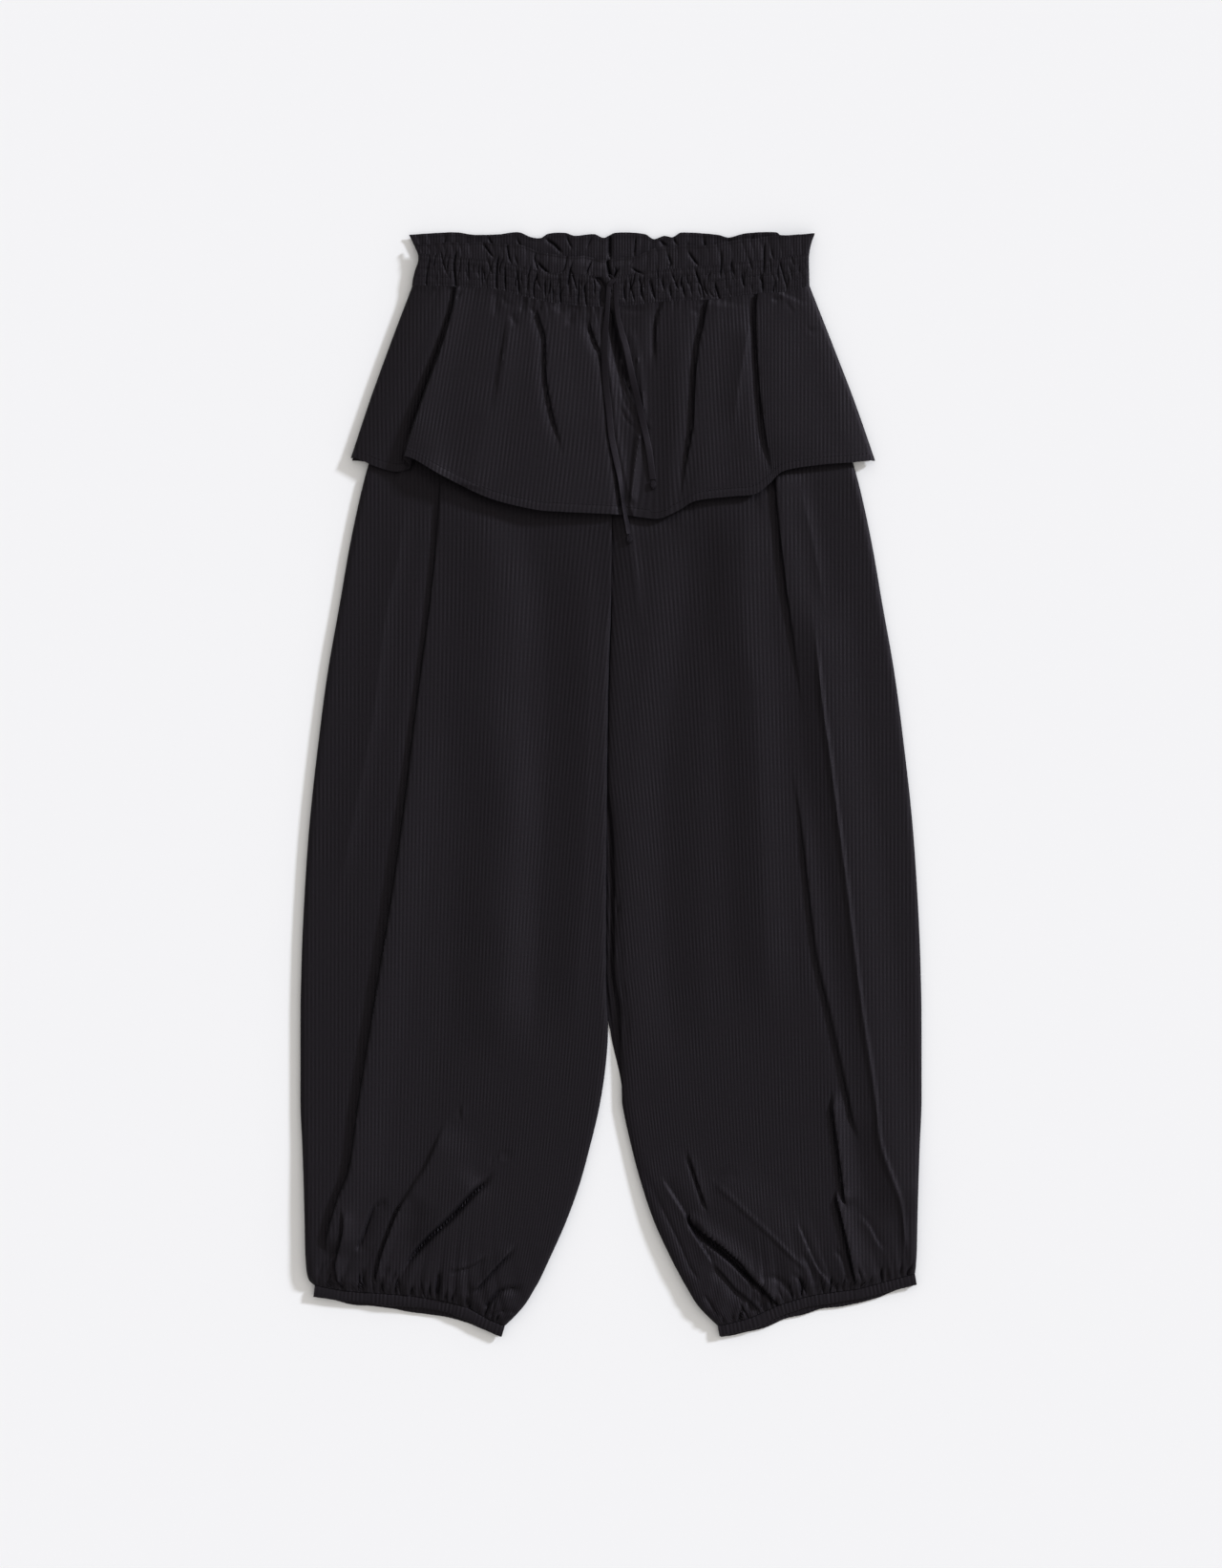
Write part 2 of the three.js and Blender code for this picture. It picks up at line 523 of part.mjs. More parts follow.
// Columns of the front peplum: a rolled edge, the rails and the spaces between them, a rolled edge.
// k is the place among the rails, inset the distance in from the side edge, rise how far it is up.
function peplumColumns() {
  const last = PEPLUM_RAILS.length - 1;
  const edge = [0, 1, 2, 3].map((step) => {
    const turn = (step / ROLL_STEPS) * (Math.PI / 2);
    return { k: 0, inset: WALL / 2 + EDGE_ROLL * (1 - Math.cos(turn)), rise: Math.sin(turn) };
  });
  const middle = [];
  for (let j = PEPLUM_BETWEEN; j <= (last - 1) * PEPLUM_BETWEEN; j += 1) {
    middle.push({ k: j / PEPLUM_BETWEEN, inset: 0, rise: 1 });
  }
  const farEdge = [...edge].reverse().map((column) => ({ ...column, k: last, inset: -column.inset }));
  return [...edge, ...middle, ...farEdge];
}

function frontPeplum() {
  const seamX = along(PEPLUM_RAILS.map((rail, k) => ({ k, x: rail.seam })), 'k', 'x');
  const rows = [];
  for (let i = 0; i <= PEPLUM_ROWS; i += 1) {
    const down = i / PEPLUM_ROWS;
    const rails = PEPLUM_RAILS.map((rail, k) => ({ k, edge: rail.edge, ...railAt(rail, down) }));
    const [xOf, zOf, edgeOf] = ['x', 'z', 'edge'].map((key) => along(rails, 'k', key));
    rows.push(peplumColumns().map(({ k, inset, rise }) => {
      const y = mix(bandBottomAt(seamX(k) + inset) - SEAM_GAP, edgeOf(k), down);
      const z = mix(FRONT_EDGE_Z, FRONT_PEPLUM_Z + zOf(k), rise);
      return new THREE.Vector3(xOf(k) + inset, y, z);
    }));
  }
  return rows;
}

function backPeplum() {
  const edgeX = along(PEPLUM_SIDE, 'y', 'x');
  const columns = 12;
  const lines = 4;
  const rows = [];
  for (let i = 0; i <= lines; i += 1) {
    const row = [];
    for (let j = 0; j <= columns; j += 1) {
      const u = (2 * j) / columns - 1;
      const y = mix(BACK_BAND[0].bottom - SEAM_GAP, backHemAt(u * PEPLUM_BACK_HEM.endsAt), i / lines);
      row.push(new THREE.Vector3(u * edgeX(y), y, BACK_PEPLUM_Z));
    }
    rows.push(row);
  }
  return rows;
}

// ---------------------------------------------------------------- drawstring
function strand(name, route) {
  const curve = new THREE.CatmullRomCurve3(route.map(([x, y, z]) => new THREE.Vector3(x, y, z)));
  const section = new THREE.Shape();
  for (let k = 0; k < 8; k += 1) {
    const angle = ((k + 0.5) * Math.PI) / 4;
    const x = (TAPE_THICKNESS / 2) * Math.cos(angle);
    const y = (TAPE_WIDTH / 2) * Math.sin(angle);
    if (k === 0) section.moveTo(x, y);
    else section.lineTo(x, y);
  }
  const steps = Math.round(curve.getLength() / 10);
  const geometry = new THREE.ExtrudeGeometry(section, { steps, extrudePath: curve, bevelEnabled: false });
  const mesh = new THREE.Mesh(geometry, TAPE);
  mesh.name = name;
  return mesh;
}

function knot(name, { x, y, z, width, height, depth }) {
  const geometry = new THREE.SphereGeometry(0.5, 10, 6);
  geometry.scale(width, height, depth);
  const mesh = new THREE.Mesh(geometry, TAPE);
  mesh.name = name;
  mesh.position.set(x, y, z);
  return mesh;
}

// ---------------------------------------------------------------- assembly
const trousers = new THREE.Group();
trousers.name = 'peplum_waist_trousers';
trousers.add(wall('back_peplum', backPeplum(), WALL, CLOTH, true));
for (const side of ['right', 'left']) {
  const front = frontLeg(side);
  const back = backLeg(side);
  trousers.add(wall(`back_leg_${side}`, back, WALL, CLOTH, true));
  trousers.add(wall(`front_leg_${side}`, front, WALL, CLOTH));
  const backCuff = cuff(back[back.length - 1], BACK_CUFF_Z, CUFF_HEIGHT);
  const frontCuff = cuff(front[front.length - 1], FRONT_CUFF_Z, CUFF_HEIGHT);
  trousers.add(wall(`back_cuff_${side}`, backCuff, CASING, CLOTH, true));
  trousers.add(wall(`front_cuff_${side}`, frontCuff, CASING, CLOTH, true));
}
const backCasing = casing(BACK_BAND, BACK_CASING_Z, 20, true);
const backHeading = heading(BACK_BAND, WALL / 2, 13, 2.2, WALL / 2);
const frontCasing = casing(FRONT_BAND, FRONT_CASING_Z, GATHERS_FRONT, false);
const frontHeading = heading(FRONT_BAND, FRONT_CASING_Z, HEADING_WAVES, 2.4, 6);
trousers.add(wall('back_waistband', backCasing, CASING, CLOTH, true));
trousers.add(wall('back_heading', backHeading, WALL, CLOTH, true));
trousers.add(wall('front_waistband', frontCasing, CASING, CLOTH));
trousers.add(wall('front_heading', frontHeading, WALL, CLOTH));
trousers.add(wall('front_peplum', frontPeplum(), WALL, CLOTH));
trousers.add(strand('drawstring_right', STRAND_RIGHT));
trousers.add(strand('drawstring_left', STRAND_LEFT));
trousers.add(knot('drawstring_crossing', WAIST_KNOT));
trousers.add(knot('end_knot_right', { ...END_KNOT_PLACES.right, ...END_KNOT }));
trousers.add(knot('end_knot_left', { ...END_KNOT_PLACES.left, ...END_KNOT }));

export default trousers;
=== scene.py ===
# %% [markdown]
# # Peplum waist trousers, laid flat
# These are balloon-leg trousers in thin black cloth with a fine lengthwise rib, laid out on a pale
# table with the front up. A maker cuts them as two front legs, two back legs, a waistband folded
# into an elastic casing with a frill over it, a flared peplum, two elastic cuffs and a drawstring.
# The frame gives the size and place of each of these. Here each one gets its real cloth: a thin
# wall with folds, gathers, seams and stitches. The scene is built in metres, the tables in
# millimetres, and MM turns one into the other.

# %% Load the frame
import math

import bpy
import numpy as np
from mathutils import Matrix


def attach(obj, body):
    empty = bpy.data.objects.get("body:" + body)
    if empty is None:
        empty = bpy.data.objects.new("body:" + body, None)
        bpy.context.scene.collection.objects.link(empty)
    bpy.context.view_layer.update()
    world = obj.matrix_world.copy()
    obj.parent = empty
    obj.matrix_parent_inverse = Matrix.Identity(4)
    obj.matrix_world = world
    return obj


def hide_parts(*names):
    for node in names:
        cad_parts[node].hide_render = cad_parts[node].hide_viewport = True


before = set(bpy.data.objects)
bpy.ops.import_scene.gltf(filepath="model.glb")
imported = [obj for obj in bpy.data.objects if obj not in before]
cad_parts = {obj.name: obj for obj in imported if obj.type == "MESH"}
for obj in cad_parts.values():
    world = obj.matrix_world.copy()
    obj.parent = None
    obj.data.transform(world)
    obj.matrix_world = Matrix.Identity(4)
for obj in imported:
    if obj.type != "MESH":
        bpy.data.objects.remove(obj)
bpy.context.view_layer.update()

MM = 0.001

# %% [markdown]
# ## Camera
# The trousers lie on the table and the camera looks straight down at them. A long lens far above
# keeps the outline free of perspective. The view is as tall as the field height below, so the
# trousers fill the middle of it.

# %% Camera
FIELD_HEIGHT = 1.3957      # metres of table from the top of the view to its bottom
FIELD_MIDDLE = -0.85       # millimetres along Y
LENS = 100.0               # millimetres, on a sensor whose long side is 36 mm
SENSOR = 36.0

scene = bpy.context.scene
lens_data = bpy.data.cameras.new("camera")
lens_data.lens = LENS
lens_data.sensor_width = SENSOR
lens_data.clip_end = 50.0  # metres
camera = bpy.data.objects.new("camera", lens_data)
camera.location = (0.0, FIELD_MIDDLE * MM, FIELD_HEIGHT * LENS / SENSOR)
scene.collection.objects.link(camera)
scene.camera = camera
print("camera height", round(camera.location.z, 3), "m")

# %% [markdown]
# ## Small helpers
# Cloth is shaped here from a few tables: an outline, the lines that folds follow, and the rails of
# the peplum. `smooth` eases from 0 to 1 between two places, `mix` goes from one value to another,
# and `along` reads one column of a table as a smooth curve through its rows, which is what a
# pattern maker's bent ruler does.

# %% Easing and curves through a table
def smooth(start, end, value):
    """0 at the start, 1 at the end, and eased in between."""
    t = np.clip((np.asarray(value, float) - start) / (end - start), 0.0, 1.0)
    return t * t * (3.0 - 2.0 * t)


def mix(a, b, t):
    """From a to b as t goes from 0 to 1."""
    return a + (b - a) * t


def table(names, rows):
    """A table as columns with names, from rows of numbers."""
    return {name: np.array([row[i] for row in rows], float) for i, name in enumerate(names.split())}


def along(columns, by, want, place):
    """Column want at any place along column by, as a smooth curve through the rows."""
    order = np.argsort(columns[by])
    at, value = columns[by][order], columns[want][order]
    before = np.concatenate([[0], np.arange(len(at) - 1)])
    after = np.concatenate([np.arange(1, len(at)), [len(at) - 1]])
    slope = (value[after] - value[before]) / (at[after] - at[before])
    place = np.clip(place, at[0], at[-1])
    i = np.clip(np.searchsorted(at, place, side="right") - 1, 0, len(at) - 2)
    step = at[i + 1] - at[i]
    t = (place - at[i]) / step
    start = (1 + 2 * t) * (1 - t) ** 2 * value[i] + t * (1 - t) ** 2 * step * slope[i]
    end = t * t * (3 - 2 * t) * value[i + 1] + t * t * (t - 1) * step * slope[i + 1]
    return start + end


halfway = along(table("at value", [(0, 0), (1, 2), (2, 8)]), "at", "value", 1.5)
print("eased halfway:", smooth(0, 4, 2), "and a curve halfway between 2 and 8:", halfway)

# %% [markdown]
# Gathered cloth never repeats. `wander` is a smooth random line through knots a set distance
# apart, always the same for the same seed, and `pleats` turns it into rows of round ridges with
# sharp valleys between them, uneven in width and height, which is how cloth on elastic bunches up.

# %% Random lines and rows of pleats
RANDOM_KNOTS = 4000
FIRST_KNOT = 1500.0        # the knot at place 0, so that places below 0 have knots too


def wander(place, step, seed):
    """A smooth random value from -1 to 1 at each place, with knots a step apart."""
    knots = np.random.RandomState(seed).uniform(-1.0, 1.0, RANDOM_KNOTS)
    at = np.asarray(place, float) / step + FIRST_KNOT
    i = np.floor(at).astype(int)
    t = at - i
    t = t * t * (3.0 - 2.0 * t)
    return mix(knots[i], knots[i + 1], t)


UNEVEN = 0.38              # how far a pleat strays from even spacing, as a share of it


def pleats(place, spacing, seed, skew=1.0):
    """Ridges from 0 in the valleys to 1 on the largest crests. A skew above 1 makes each ridge climb
    slowly and drop steeply."""
    phase = place / spacing + UNEVEN * wander(place, spacing * 1.7, seed)
    ridge = np.abs(np.sin(math.pi * (phase - np.floor(phase)) ** skew)) ** 0.75
    return ridge * (0.66 + 0.34 * wander(place, spacing * 1.3, seed + 1))


print("first heights in a row of pleats:", np.round(pleats(np.arange(0, 12, 3.0), 8.0, 5), 2))

# %% [markdown]
# ## Lines over the cloth
# Cords, folds and creases all follow given lines. `bend` draws a smooth curve through a
# few points, as a bent ruler does. `beside` tells how far each point of the cloth lies from such a
# line, on which side of it, and how far down it. `along_line` spreads points evenly over a line.

# %% Smooth lines
def bend(points, steps=8):
    """A smooth curve through the points, with this many steps between each two."""
    p = np.array(points, float)
    p = np.vstack([2 * p[0] - p[1], p, 2 * p[-1] - p[-2]])
    t = np.linspace(0, 1, steps, endpoint=False)[:, None]
    spans = []
    for a, b, c, d in zip(p, p[1:], p[2:], p[3:]):
        curve = 2 * b + (c - a) * t + (2 * a - 5 * b + 4 * c - d) * t**2 + (3 * b - a - 3 * c + d) * t**3
        spans.append(curve / 2)
    return np.vstack(spans + [p[-2:-1]])


def beside(line, x, y):
    """Distance from a line, above 0 on the right of the way down, and the distance run along it."""
    curve = bend(line, 5)
    nearest = np.full(x.shape, 1e9)
    away, run, start = np.zeros(x.shape), np.zeros(x.shape), 0.0
    for (ax, ay), (bx, by) in zip(curve, curve[1:]):
        dx, dy = bx - ax, by - ay
        length = math.hypot(dx, dy)
        t = np.clip(((x - ax) * dx + (y - ay) * dy) / length**2, 0, 1)
        off_x, off_y = x - ax - t * dx, y - ay - t * dy
        gap = np.hypot(off_x, off_y)
        nearer = gap < nearest
        away = np.where(nearer, gap * np.sign(off_y * dx - off_x * dy), away)
        run = np.where(nearer, start + t * length, run)
        nearest = np.minimum(nearest, gap)
        start += length
    return away, run, start


def along_line(x, y, columns):
    """Points spread evenly along a line, with their distance along it."""
    run = np.concatenate([[0], np.cumsum(np.hypot(np.diff(x), np.diff(y)))])
    even = np.linspace(0, run[-1], columns)
    return np.interp(even, run, x), np.interp(even, run, y), even


print("a line bent through 3 points has", len(bend([(0, 0), (3, 4), (0, 9)])), "points")

# %% [markdown]
# `fold_lines` raises or sinks the cloth along a whole table of such lines. A fold has a height on
# each side of its line: both up is a ridge, both down is a trough, and one of each is a lap, where
# the cloth on the high side lies over its neighbour and hangs over it a little. `creased` is for
# the many small sharp creases: a narrow trough whose right lip hangs over it.

# %% Folds and creases along lines
LAP_EDGE = 1.2             # half the width of the step at a lap
HANG_OVER = 0.2            # how far a lap hangs over, for each millimetre of its step above the first
LEAN_WIDTH = 1.6           # how wide the cloth is that leans over at a lap
CREASE_SINK = 0.85         # how far a crease sinks, as a share of its depth
CREASE_SLOPES = (0.14, 0.3)    # width of its slopes on the right and left, as a share of its width
LIP_REACH = 0.15           # how far its lip hangs over, as a share of its depth
LIP_DEEPEST = 3.0          # a crease deeper than this has no larger lip
LIP_WIDTH = 0.8


def flank(away, width):
    """1 on the line and 0 a width away: a pinched slope if narrow, a round one if wide."""
    share = np.clip(np.abs(away) / width, 0, 1)
    return mix((1 - share) ** 2, 1 - share * share * (3 - 2 * share), smooth(12, 40, width))


def fold_lines(folds, x, y):
    """Rise and sideways lean from a table of folds. Each row holds the height and width on the left
    of the line, the height and width on its right, the fade at its top and bottom, and the line."""
    rise, lean = np.zeros_like(x), np.zeros_like(x)
    for left, left_width, right, right_width, fade_top, fade_bottom, line in folds:
        reach = max(left_width, right_width)
        low, high = np.min(line, axis=0) - reach, np.max(line, axis=0) + reach
        near = (x > low[0]) & (x < high[0]) & (y > low[1]) & (y < high[1])
        away, run, length = beside(line, x[near], y[near])
        side = smooth(-LAP_EDGE, LAP_EDGE, away)
        bump = mix(left * flank(away, left_width), right * flank(away, right_width), side)
        shown = smooth(0, max(fade_top, 0.1), run) * smooth(0, max(fade_bottom, 0.1), length - run)
        rise[near] += bump * shown
        step = right - left
        hang = HANG_OVER * math.copysign(max(abs(step) - 1.0, 0.0), step)
        lean[near] -= hang * shown * np.exp(-(((away - math.copysign(1.0, step)) / LEAN_WIDTH) ** 2))
    return rise, lean


def creased(creases, x, y):
    """How far small creases sink the cloth, and how far the lip on their right hangs over them. Each
    row holds the depth, the width and the line."""
    sink, lip = np.zeros_like(x), np.zeros_like(x)
    for depth, width, line in creases:
        low, high = np.min(line, axis=0) - width - 2, np.max(line, axis=0) + width + 2
        near = (x > low[0]) & (x < high[0]) & (y > low[1]) & (y < high[1])
        away, run, length = beside(line, x[near], y[near])
        ends = smooth(-1, 6, run) * smooth(-1, 6, length - run)
        reach = width * np.where(away > 0, *CREASE_SLOPES)
        sink[near] += CREASE_SINK * depth * ends * np.exp(-((np.abs(away) / reach) ** 1.3))
        hang = LIP_REACH * min(depth, LIP_DEEPEST)
        lip[near] -= hang * ends * np.exp(-(((away - LIP_WIDTH) / LIP_WIDTH) ** 2))
    return sink, lip


trial = creased([(2.0, 4.0, [(0, 10), (0, 0)])], np.array([[0.1]]), np.array([[5.0]]))
print("a crease 2 mm deep sinks the cloth", round(float(trial[0][0, 0]), 2), "mm beside its line")

# %% [markdown]
# ## From a grid to cloth
# Every piece starts as Blender's flat grid. Its points are moved to where the cloth lies, and its
# UV map is set to the piece's own flat measure in metres, so that the rib runs with the cloth. A
# panel is a sheet, to which Solidify gives two faces and closed edges. A cuff, tape or thread is a
# tube: the grid is rolled up into rings and its seam is merged.

# %% Make sheets and tubes
CLOTH_THICKNESS = 0.6
WELD = 0.02                # millimetres: points closer than this become one where a tube closes
UV_NAME = "cloth"
pieces = {}
slots = {}


def deselect():
    for other in bpy.context.selected_objects:
        other.select_set(False)


def apply_modifier(piece, kind, **settings):
    deselect()
    bpy.context.view_layer.objects.active = piece
    piece.select_set(True)
    modifier = piece.modifiers.new(kind.lower(), kind)
    for key, value in settings.items():
        setattr(modifier, key, value)
    bpy.ops.object.modifier_apply(modifier=modifier.name)


def smooth_shading(piece, degrees=50.0):
    deselect()
    bpy.context.view_layer.objects.active = piece
    piece.select_set(True)
    bpy.ops.object.shade_smooth_by_angle(angle=math.radians(degrees), keep_sharp_edges=False)


def grid(name, x, y, z, u, v):
    """Blender's grid with its points at x, y, z and its UV map at u, v, all in millimetres."""
    rows, columns = x.shape
    deselect()
    bpy.ops.mesh.primitive_grid_add(x_subdivisions=columns - 1, y_subdivisions=rows - 1, size=1.0)
    piece = bpy.context.object
    piece.name = name
    mesh = piece.data
    mesh.name = name
    mesh.vertices.foreach_set("co", (np.stack([x, y, z], -1) * MM).astype(np.float32).ravel())
    corner = np.zeros(len(mesh.loops), np.int32)
    mesh.loops.foreach_get("vertex_index", corner)
    spread = (np.stack([u, v], -1).reshape(-1, 2) * MM).astype(np.float32)
    mesh.uv_layers[0].name = UV_NAME
    mesh.uv_layers[0].data.foreach_set("uv", spread[corner].ravel())
    mesh.update()
    return piece


def sheet(name, x, y, z, u, v, replaces):
    """A thin closed wall under the surface x, y, z. All arrays are rows by columns."""
    if x[0, -1] < x[0, 0]:
        x, y, z, u, v = (a[:, ::-1] for a in (x, y, z, u, v))
    if y[-1, 0] < y[0, 0]:
        x, y, z, u, v = (a[::-1] for a in (x, y, z, u, v))
    piece = grid(name, x, y, z, u, v)
    apply_modifier(piece, "SOLIDIFY", thickness=CLOTH_THICKNESS * MM, offset=-1.0, use_even_offset=False)
    smooth_shading(piece)
    return own(piece, "ribbed_cloth", replaces)


def tube(name, x, y, z, run, round_it, slot="ribbed_cloth", replaces=()):
    """A closed skin: rows go round the section and columns along the run."""
    piece = grid(name, x, y, z, run[None, :] + 0 * x, round_it[:, None] + 0 * x)
    bpy.ops.object.mode_set(mode="EDIT")
    bpy.ops.mesh.select_all(action="SELECT")
    bpy.ops.mesh.remove_doubles(threshold=WELD * MM)
    bpy.ops.mesh.select_all(action="DESELECT")
    bpy.ops.mesh.select_non_manifold()
    bpy.ops.mesh.fill_holes(sides=0)
    bpy.ops.mesh.select_all(action="SELECT")
    bpy.ops.mesh.normals_make_consistent(inside=False)
    bpy.ops.object.mode_set(mode="OBJECT")
    smooth_shading(piece)
    return own(piece, slot, replaces)


def own(piece, slot, replaces=()):
    """Rides a piece on the body, names its finish and hides the CAD nodes that it stands for."""
    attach(piece, "root")
    if replaces:
        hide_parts(*replaces)
    pieces[piece.name] = piece
    slots[piece.name] = slot
    print(f"{piece.name}: {len(piece.data.polygons)} faces")
    return piece


print("cloth is", CLOTH_THICKNESS, "mm thick, and every piece lists its faces as it is made")

# %% [markdown]
# ## Drawstring
# The drawstring is a flat woven tape 6 mm wide. Its two ends come out of the waistband a little to
# each side of the middle, cross once in a half knot and then hang down loose over the peplum, side
# by side at first. Each ends in a small knot. Near the crossing the tape is squeezed narrower. A
# route is a list of places in millimetres: across, up the trousers, and above the table.

# %% Tapes, crossing and end knots
TAPE_WIDTH = 6.0
TAPE_THICKNESS = 1.0
TAPE_SIDES = 18
TAPE_SQUARE = 0.5          # 1 is an oval section, 0 a rectangle
ROUTE_RIGHT = [
    (-2.1, 441, 9.3), (-2.8, 427, 9.3), (-3.8, 414, 9.6), (-5.2, 399, 10.2), (-5.7, 378, 10.5),
    (-4.8, 357, 10.5), (-2, 333, 10.6), (0.5, 308, 10.7), (4.5, 288, 11), (8.2, 271, 11.2),
    (10, 257, 11.2), (12, 243, 11.2), (13.6, 234, 10.6), (15, 226, 8.6), (15.9, 221.5, 8.2)]
ROUTE_LEFT = [
    (4.3, 441, 9.3), (4.7, 427, 9.3), (6.2, 414, 9.6), (9.6, 400, 10.1), (13.8, 385, 10.5),
    (18.6, 362, 10.9), (24.5, 337, 11), (29.6, 315, 11), (33.8, 295, 11), (36.3, 276, 11),
    (37, 269.5, 11)]
CROSSING_FROM_RIGHT = [(4.6, 450.5, 7.4), (3.6, 448.6, 8.6), (1.8, 446.2, 9.9), (-0.4, 443.4, 10.2),
                       (-1.8, 441.2, 9.7), (-2.1, 439.5, 9.4)]
CROSSING_FROM_LEFT = [(-1.6, 450.5, 7.2), (0.2, 448.6, 8.4), (2.4, 446, 9.3), (4.0, 443.2, 9.5),
                      (4.3, 441, 9.2), (4.3, 439.5, 9.3)]
END_KNOTS = {"end_knot_right": (16.2, 216.5, 8.6), "end_knot_left": (37.3, 264.5, 11.9)}
END_KNOT_SIZE = (6.5, 9.0, 3.4)
END_KNOT_SLANT = 9.0       # radians by which the winding turns over the length of the knot
END_KNOT_GROOVE = 0.16     # depth of the winding's grooves, as a share of the radius


def tape(name, route, width, twist, replaces=()):
    """A flat tape along a route. width and twist are tables by distance run, in mm and degrees."""
    centre = bend(route, 7)
    step = np.gradient(centre, axis=0)
    run = np.concatenate([[0], np.cumsum(np.linalg.norm(np.diff(centre, axis=0), axis=1))])
    forward = step / np.linalg.norm(step, axis=1)[:, None]
    across = np.cross(forward, [0.0, 0.0, 1.0])
    across /= np.linalg.norm(across, axis=1)[:, None]
    above = np.cross(across, forward)
    turn = np.radians(np.interp(run, *twist))[:, None]
    flat = across * np.cos(turn) + above * np.sin(turn)
    thick = above * np.cos(turn) - across * np.sin(turn)
    angle = np.linspace(0, 2 * math.pi, TAPE_SIDES + 1)
    wide = np.sign(np.cos(angle)) * np.abs(np.cos(angle)) ** TAPE_SQUARE / 2
    deep = np.sign(np.sin(angle)) * np.abs(np.sin(angle)) ** TAPE_SQUARE / 2
    half = np.interp(run, *width)
    ring = centre[None] + wide[:, None, None] * half[None, :, None] * flat[None]
    ring = ring + deep[:, None, None] * TAPE_THICKNESS * thick[None]
    piece = tube(name, *np.moveaxis(ring, -1, 0), run, wide * TAPE_WIDTH, "drawstring_tape", replaces)
    return piece, centre, run[-1]


narrow_start = ([0, 25, 45, 300], [4.0, 4.4, 5.8, TAPE_WIDTH])
narrow_knot = ([0, 40], [4.2, 4.0])
tape_right, centre_right, length_right = tape(
    "drawstring_right_tape", ROUTE_RIGHT, narrow_start,
    ([0, 30, 70, 120, 160, 190, 225], [6, -8, -14, 10, 20, 52, 44]), ["drawstring_right"])
tape_left, centre_left, length_left = tape(
    "drawstring_left_tape", ROUTE_LEFT, narrow_start,
    ([0, 30, 60, 100, 140, 175], [-6, 10, 20, -12, 16, 0]), ["drawstring_left"])
crossing_over, _, _ = tape(
    "drawstring_crossing_over", CROSSING_FROM_RIGHT, narrow_knot,
    ([0, 5, 12], [-50, -24, 10]), ["drawstring_crossing"])
crossing_under, _, _ = tape(
    "drawstring_crossing_under", CROSSING_FROM_LEFT, narrow_knot,
    ([0, 5, 12], [-50, -20, 0]))


def end_knot(name, place):
    """A small overhand knot: an egg with two tape turns wound over it at a slant."""
    deselect()
    bpy.ops.mesh.primitive_uv_sphere_add(segments=40, ring_count=28, radius=0.5)
    knot = bpy.context.object
    knot.name = f"{name}_wound"
    knot.data.name = knot.name
    count = len(knot.data.vertices)
    points = np.zeros(count * 3, np.float32)
    knot.data.vertices.foreach_get("co", points)
    points = points.reshape(-1, 3)
    angle = np.arctan2(points[:, 2], points[:, 0])
    wound = 0.5 + 0.5 * np.cos(END_KNOT_SLANT * points[:, 1] + angle)
    swell = 1 - END_KNOT_GROOVE + END_KNOT_GROOVE * wound[:, None] ** 0.7
    points = points * swell * np.array(END_KNOT_SIZE) + np.array(place)
    knot.data.vertices.foreach_set("co", (points * MM).astype(np.float32).ravel())
    knot.data.uv_layers[0].name = UV_NAME
    smooth_shading(knot, 80)
    return own(knot, "drawstring_tape", [name])


knots = {name: end_knot(name, place) for name, place in END_KNOTS.items()}
print("tape lengths in mm:", round(length_right, 1), round(length_left, 1))

# %% [markdown]
# ## Outline of the legs
# The outline is a pattern piece: at each height, how far the side seam lies from the middle, where
# the line between the legs runs, and how wide the space between the two inseams is. Below the
# crotch the legs first lie against each other and then part, and low down the side seams are at
# their widest, which is what makes a balloon leg. Round the crotch the front of the left leg stops
# a few millimetres short of the right leg. This opening has its own table of widths, and a strip
# of the left leg's back shows in it.

# %% Outline tables
LEG_OUTLINE = table("y outer centre gap", [
    (443, 166, 1, 0.2), (400, 178, 1, 0.2), (340, 197, 1, 0.2), (281, 216.5, 1.3, 0.2),
    (221, 230.5, 1, 0.2), (153, 242.5, 0.2, 0.2), (102, 251.5, -1.5, 0.3), (51, 258.5, -2.5, 0.3),
    (-34, 268, -3.4, 0.3), (-119, 273.7, -4, 0.3), (-185, 276, -3.8, 0.3), (-220, 276.3, -1.6, 1.8),
    (-255, 276.3, 0, 10.2), (-289, 276.2, 0, 21), (-323, 274.6, -0.3, 36.5), (-357, 273.4, -0.4, 55),
    (-391, 272.5, -0.8, 79), (-425, 271.5, -0.5, 110), (-442, 268.6, 0, 127), (-449, 261, 0, 135),
    (-465, 250, 0, 155), (-483, 245, 0.3, 190), (-500, 240, 0.3, 230)])
OPENING = table("y width", [
    (20, 0), (-7, 0.8), (-38, 4.5), (-88, 6.6), (-126, 6.8), (-170, 6.9), (-195, 10.3), (-217, 9.5),
    (-238, 6.3), (-263, 3), (-285, 0)])
CROTCH_Y = 156             # from here down the two inseams may part
CUFF_SEAM = {
    "right": table("reach y", [(95, -482.4), (112, -474.5), (127, -466.7), (149, -460.3),
                               (178, -455.8), (210, -453.2), (237, -451), (262, -446.5)]),
    "left": table("reach y", [(96, -482.4), (124, -475), (140, -468), (155, -462),
                              (181, -455), (219, -449.5), (238, -444.6), (270, -436)])}
FRONT_BAND = table("x bottom top heading", [
    (-177, 442.5, 470.5, 478), (-128, 440.3, 466, 480), (-100, 438.5, 463.3, 479.5),
    (-82, 433.5, 459.5, 477.5), (-58, 427.5, 454, 471), (-27, 423.5, 451.4, 467.5),
    (0, 423, 449, 466), (22, 424.5, 452.5, 469), (46, 427.5, 455.6, 475.5), (90, 429.5, 459.7, 478.5),
    (124, 434, 463.5, 483.5), (160, 437, 467.5, 487), (177, 442.5, 470.5, 488)])
SIGN = {"right": -1.0, "left": 1.0}


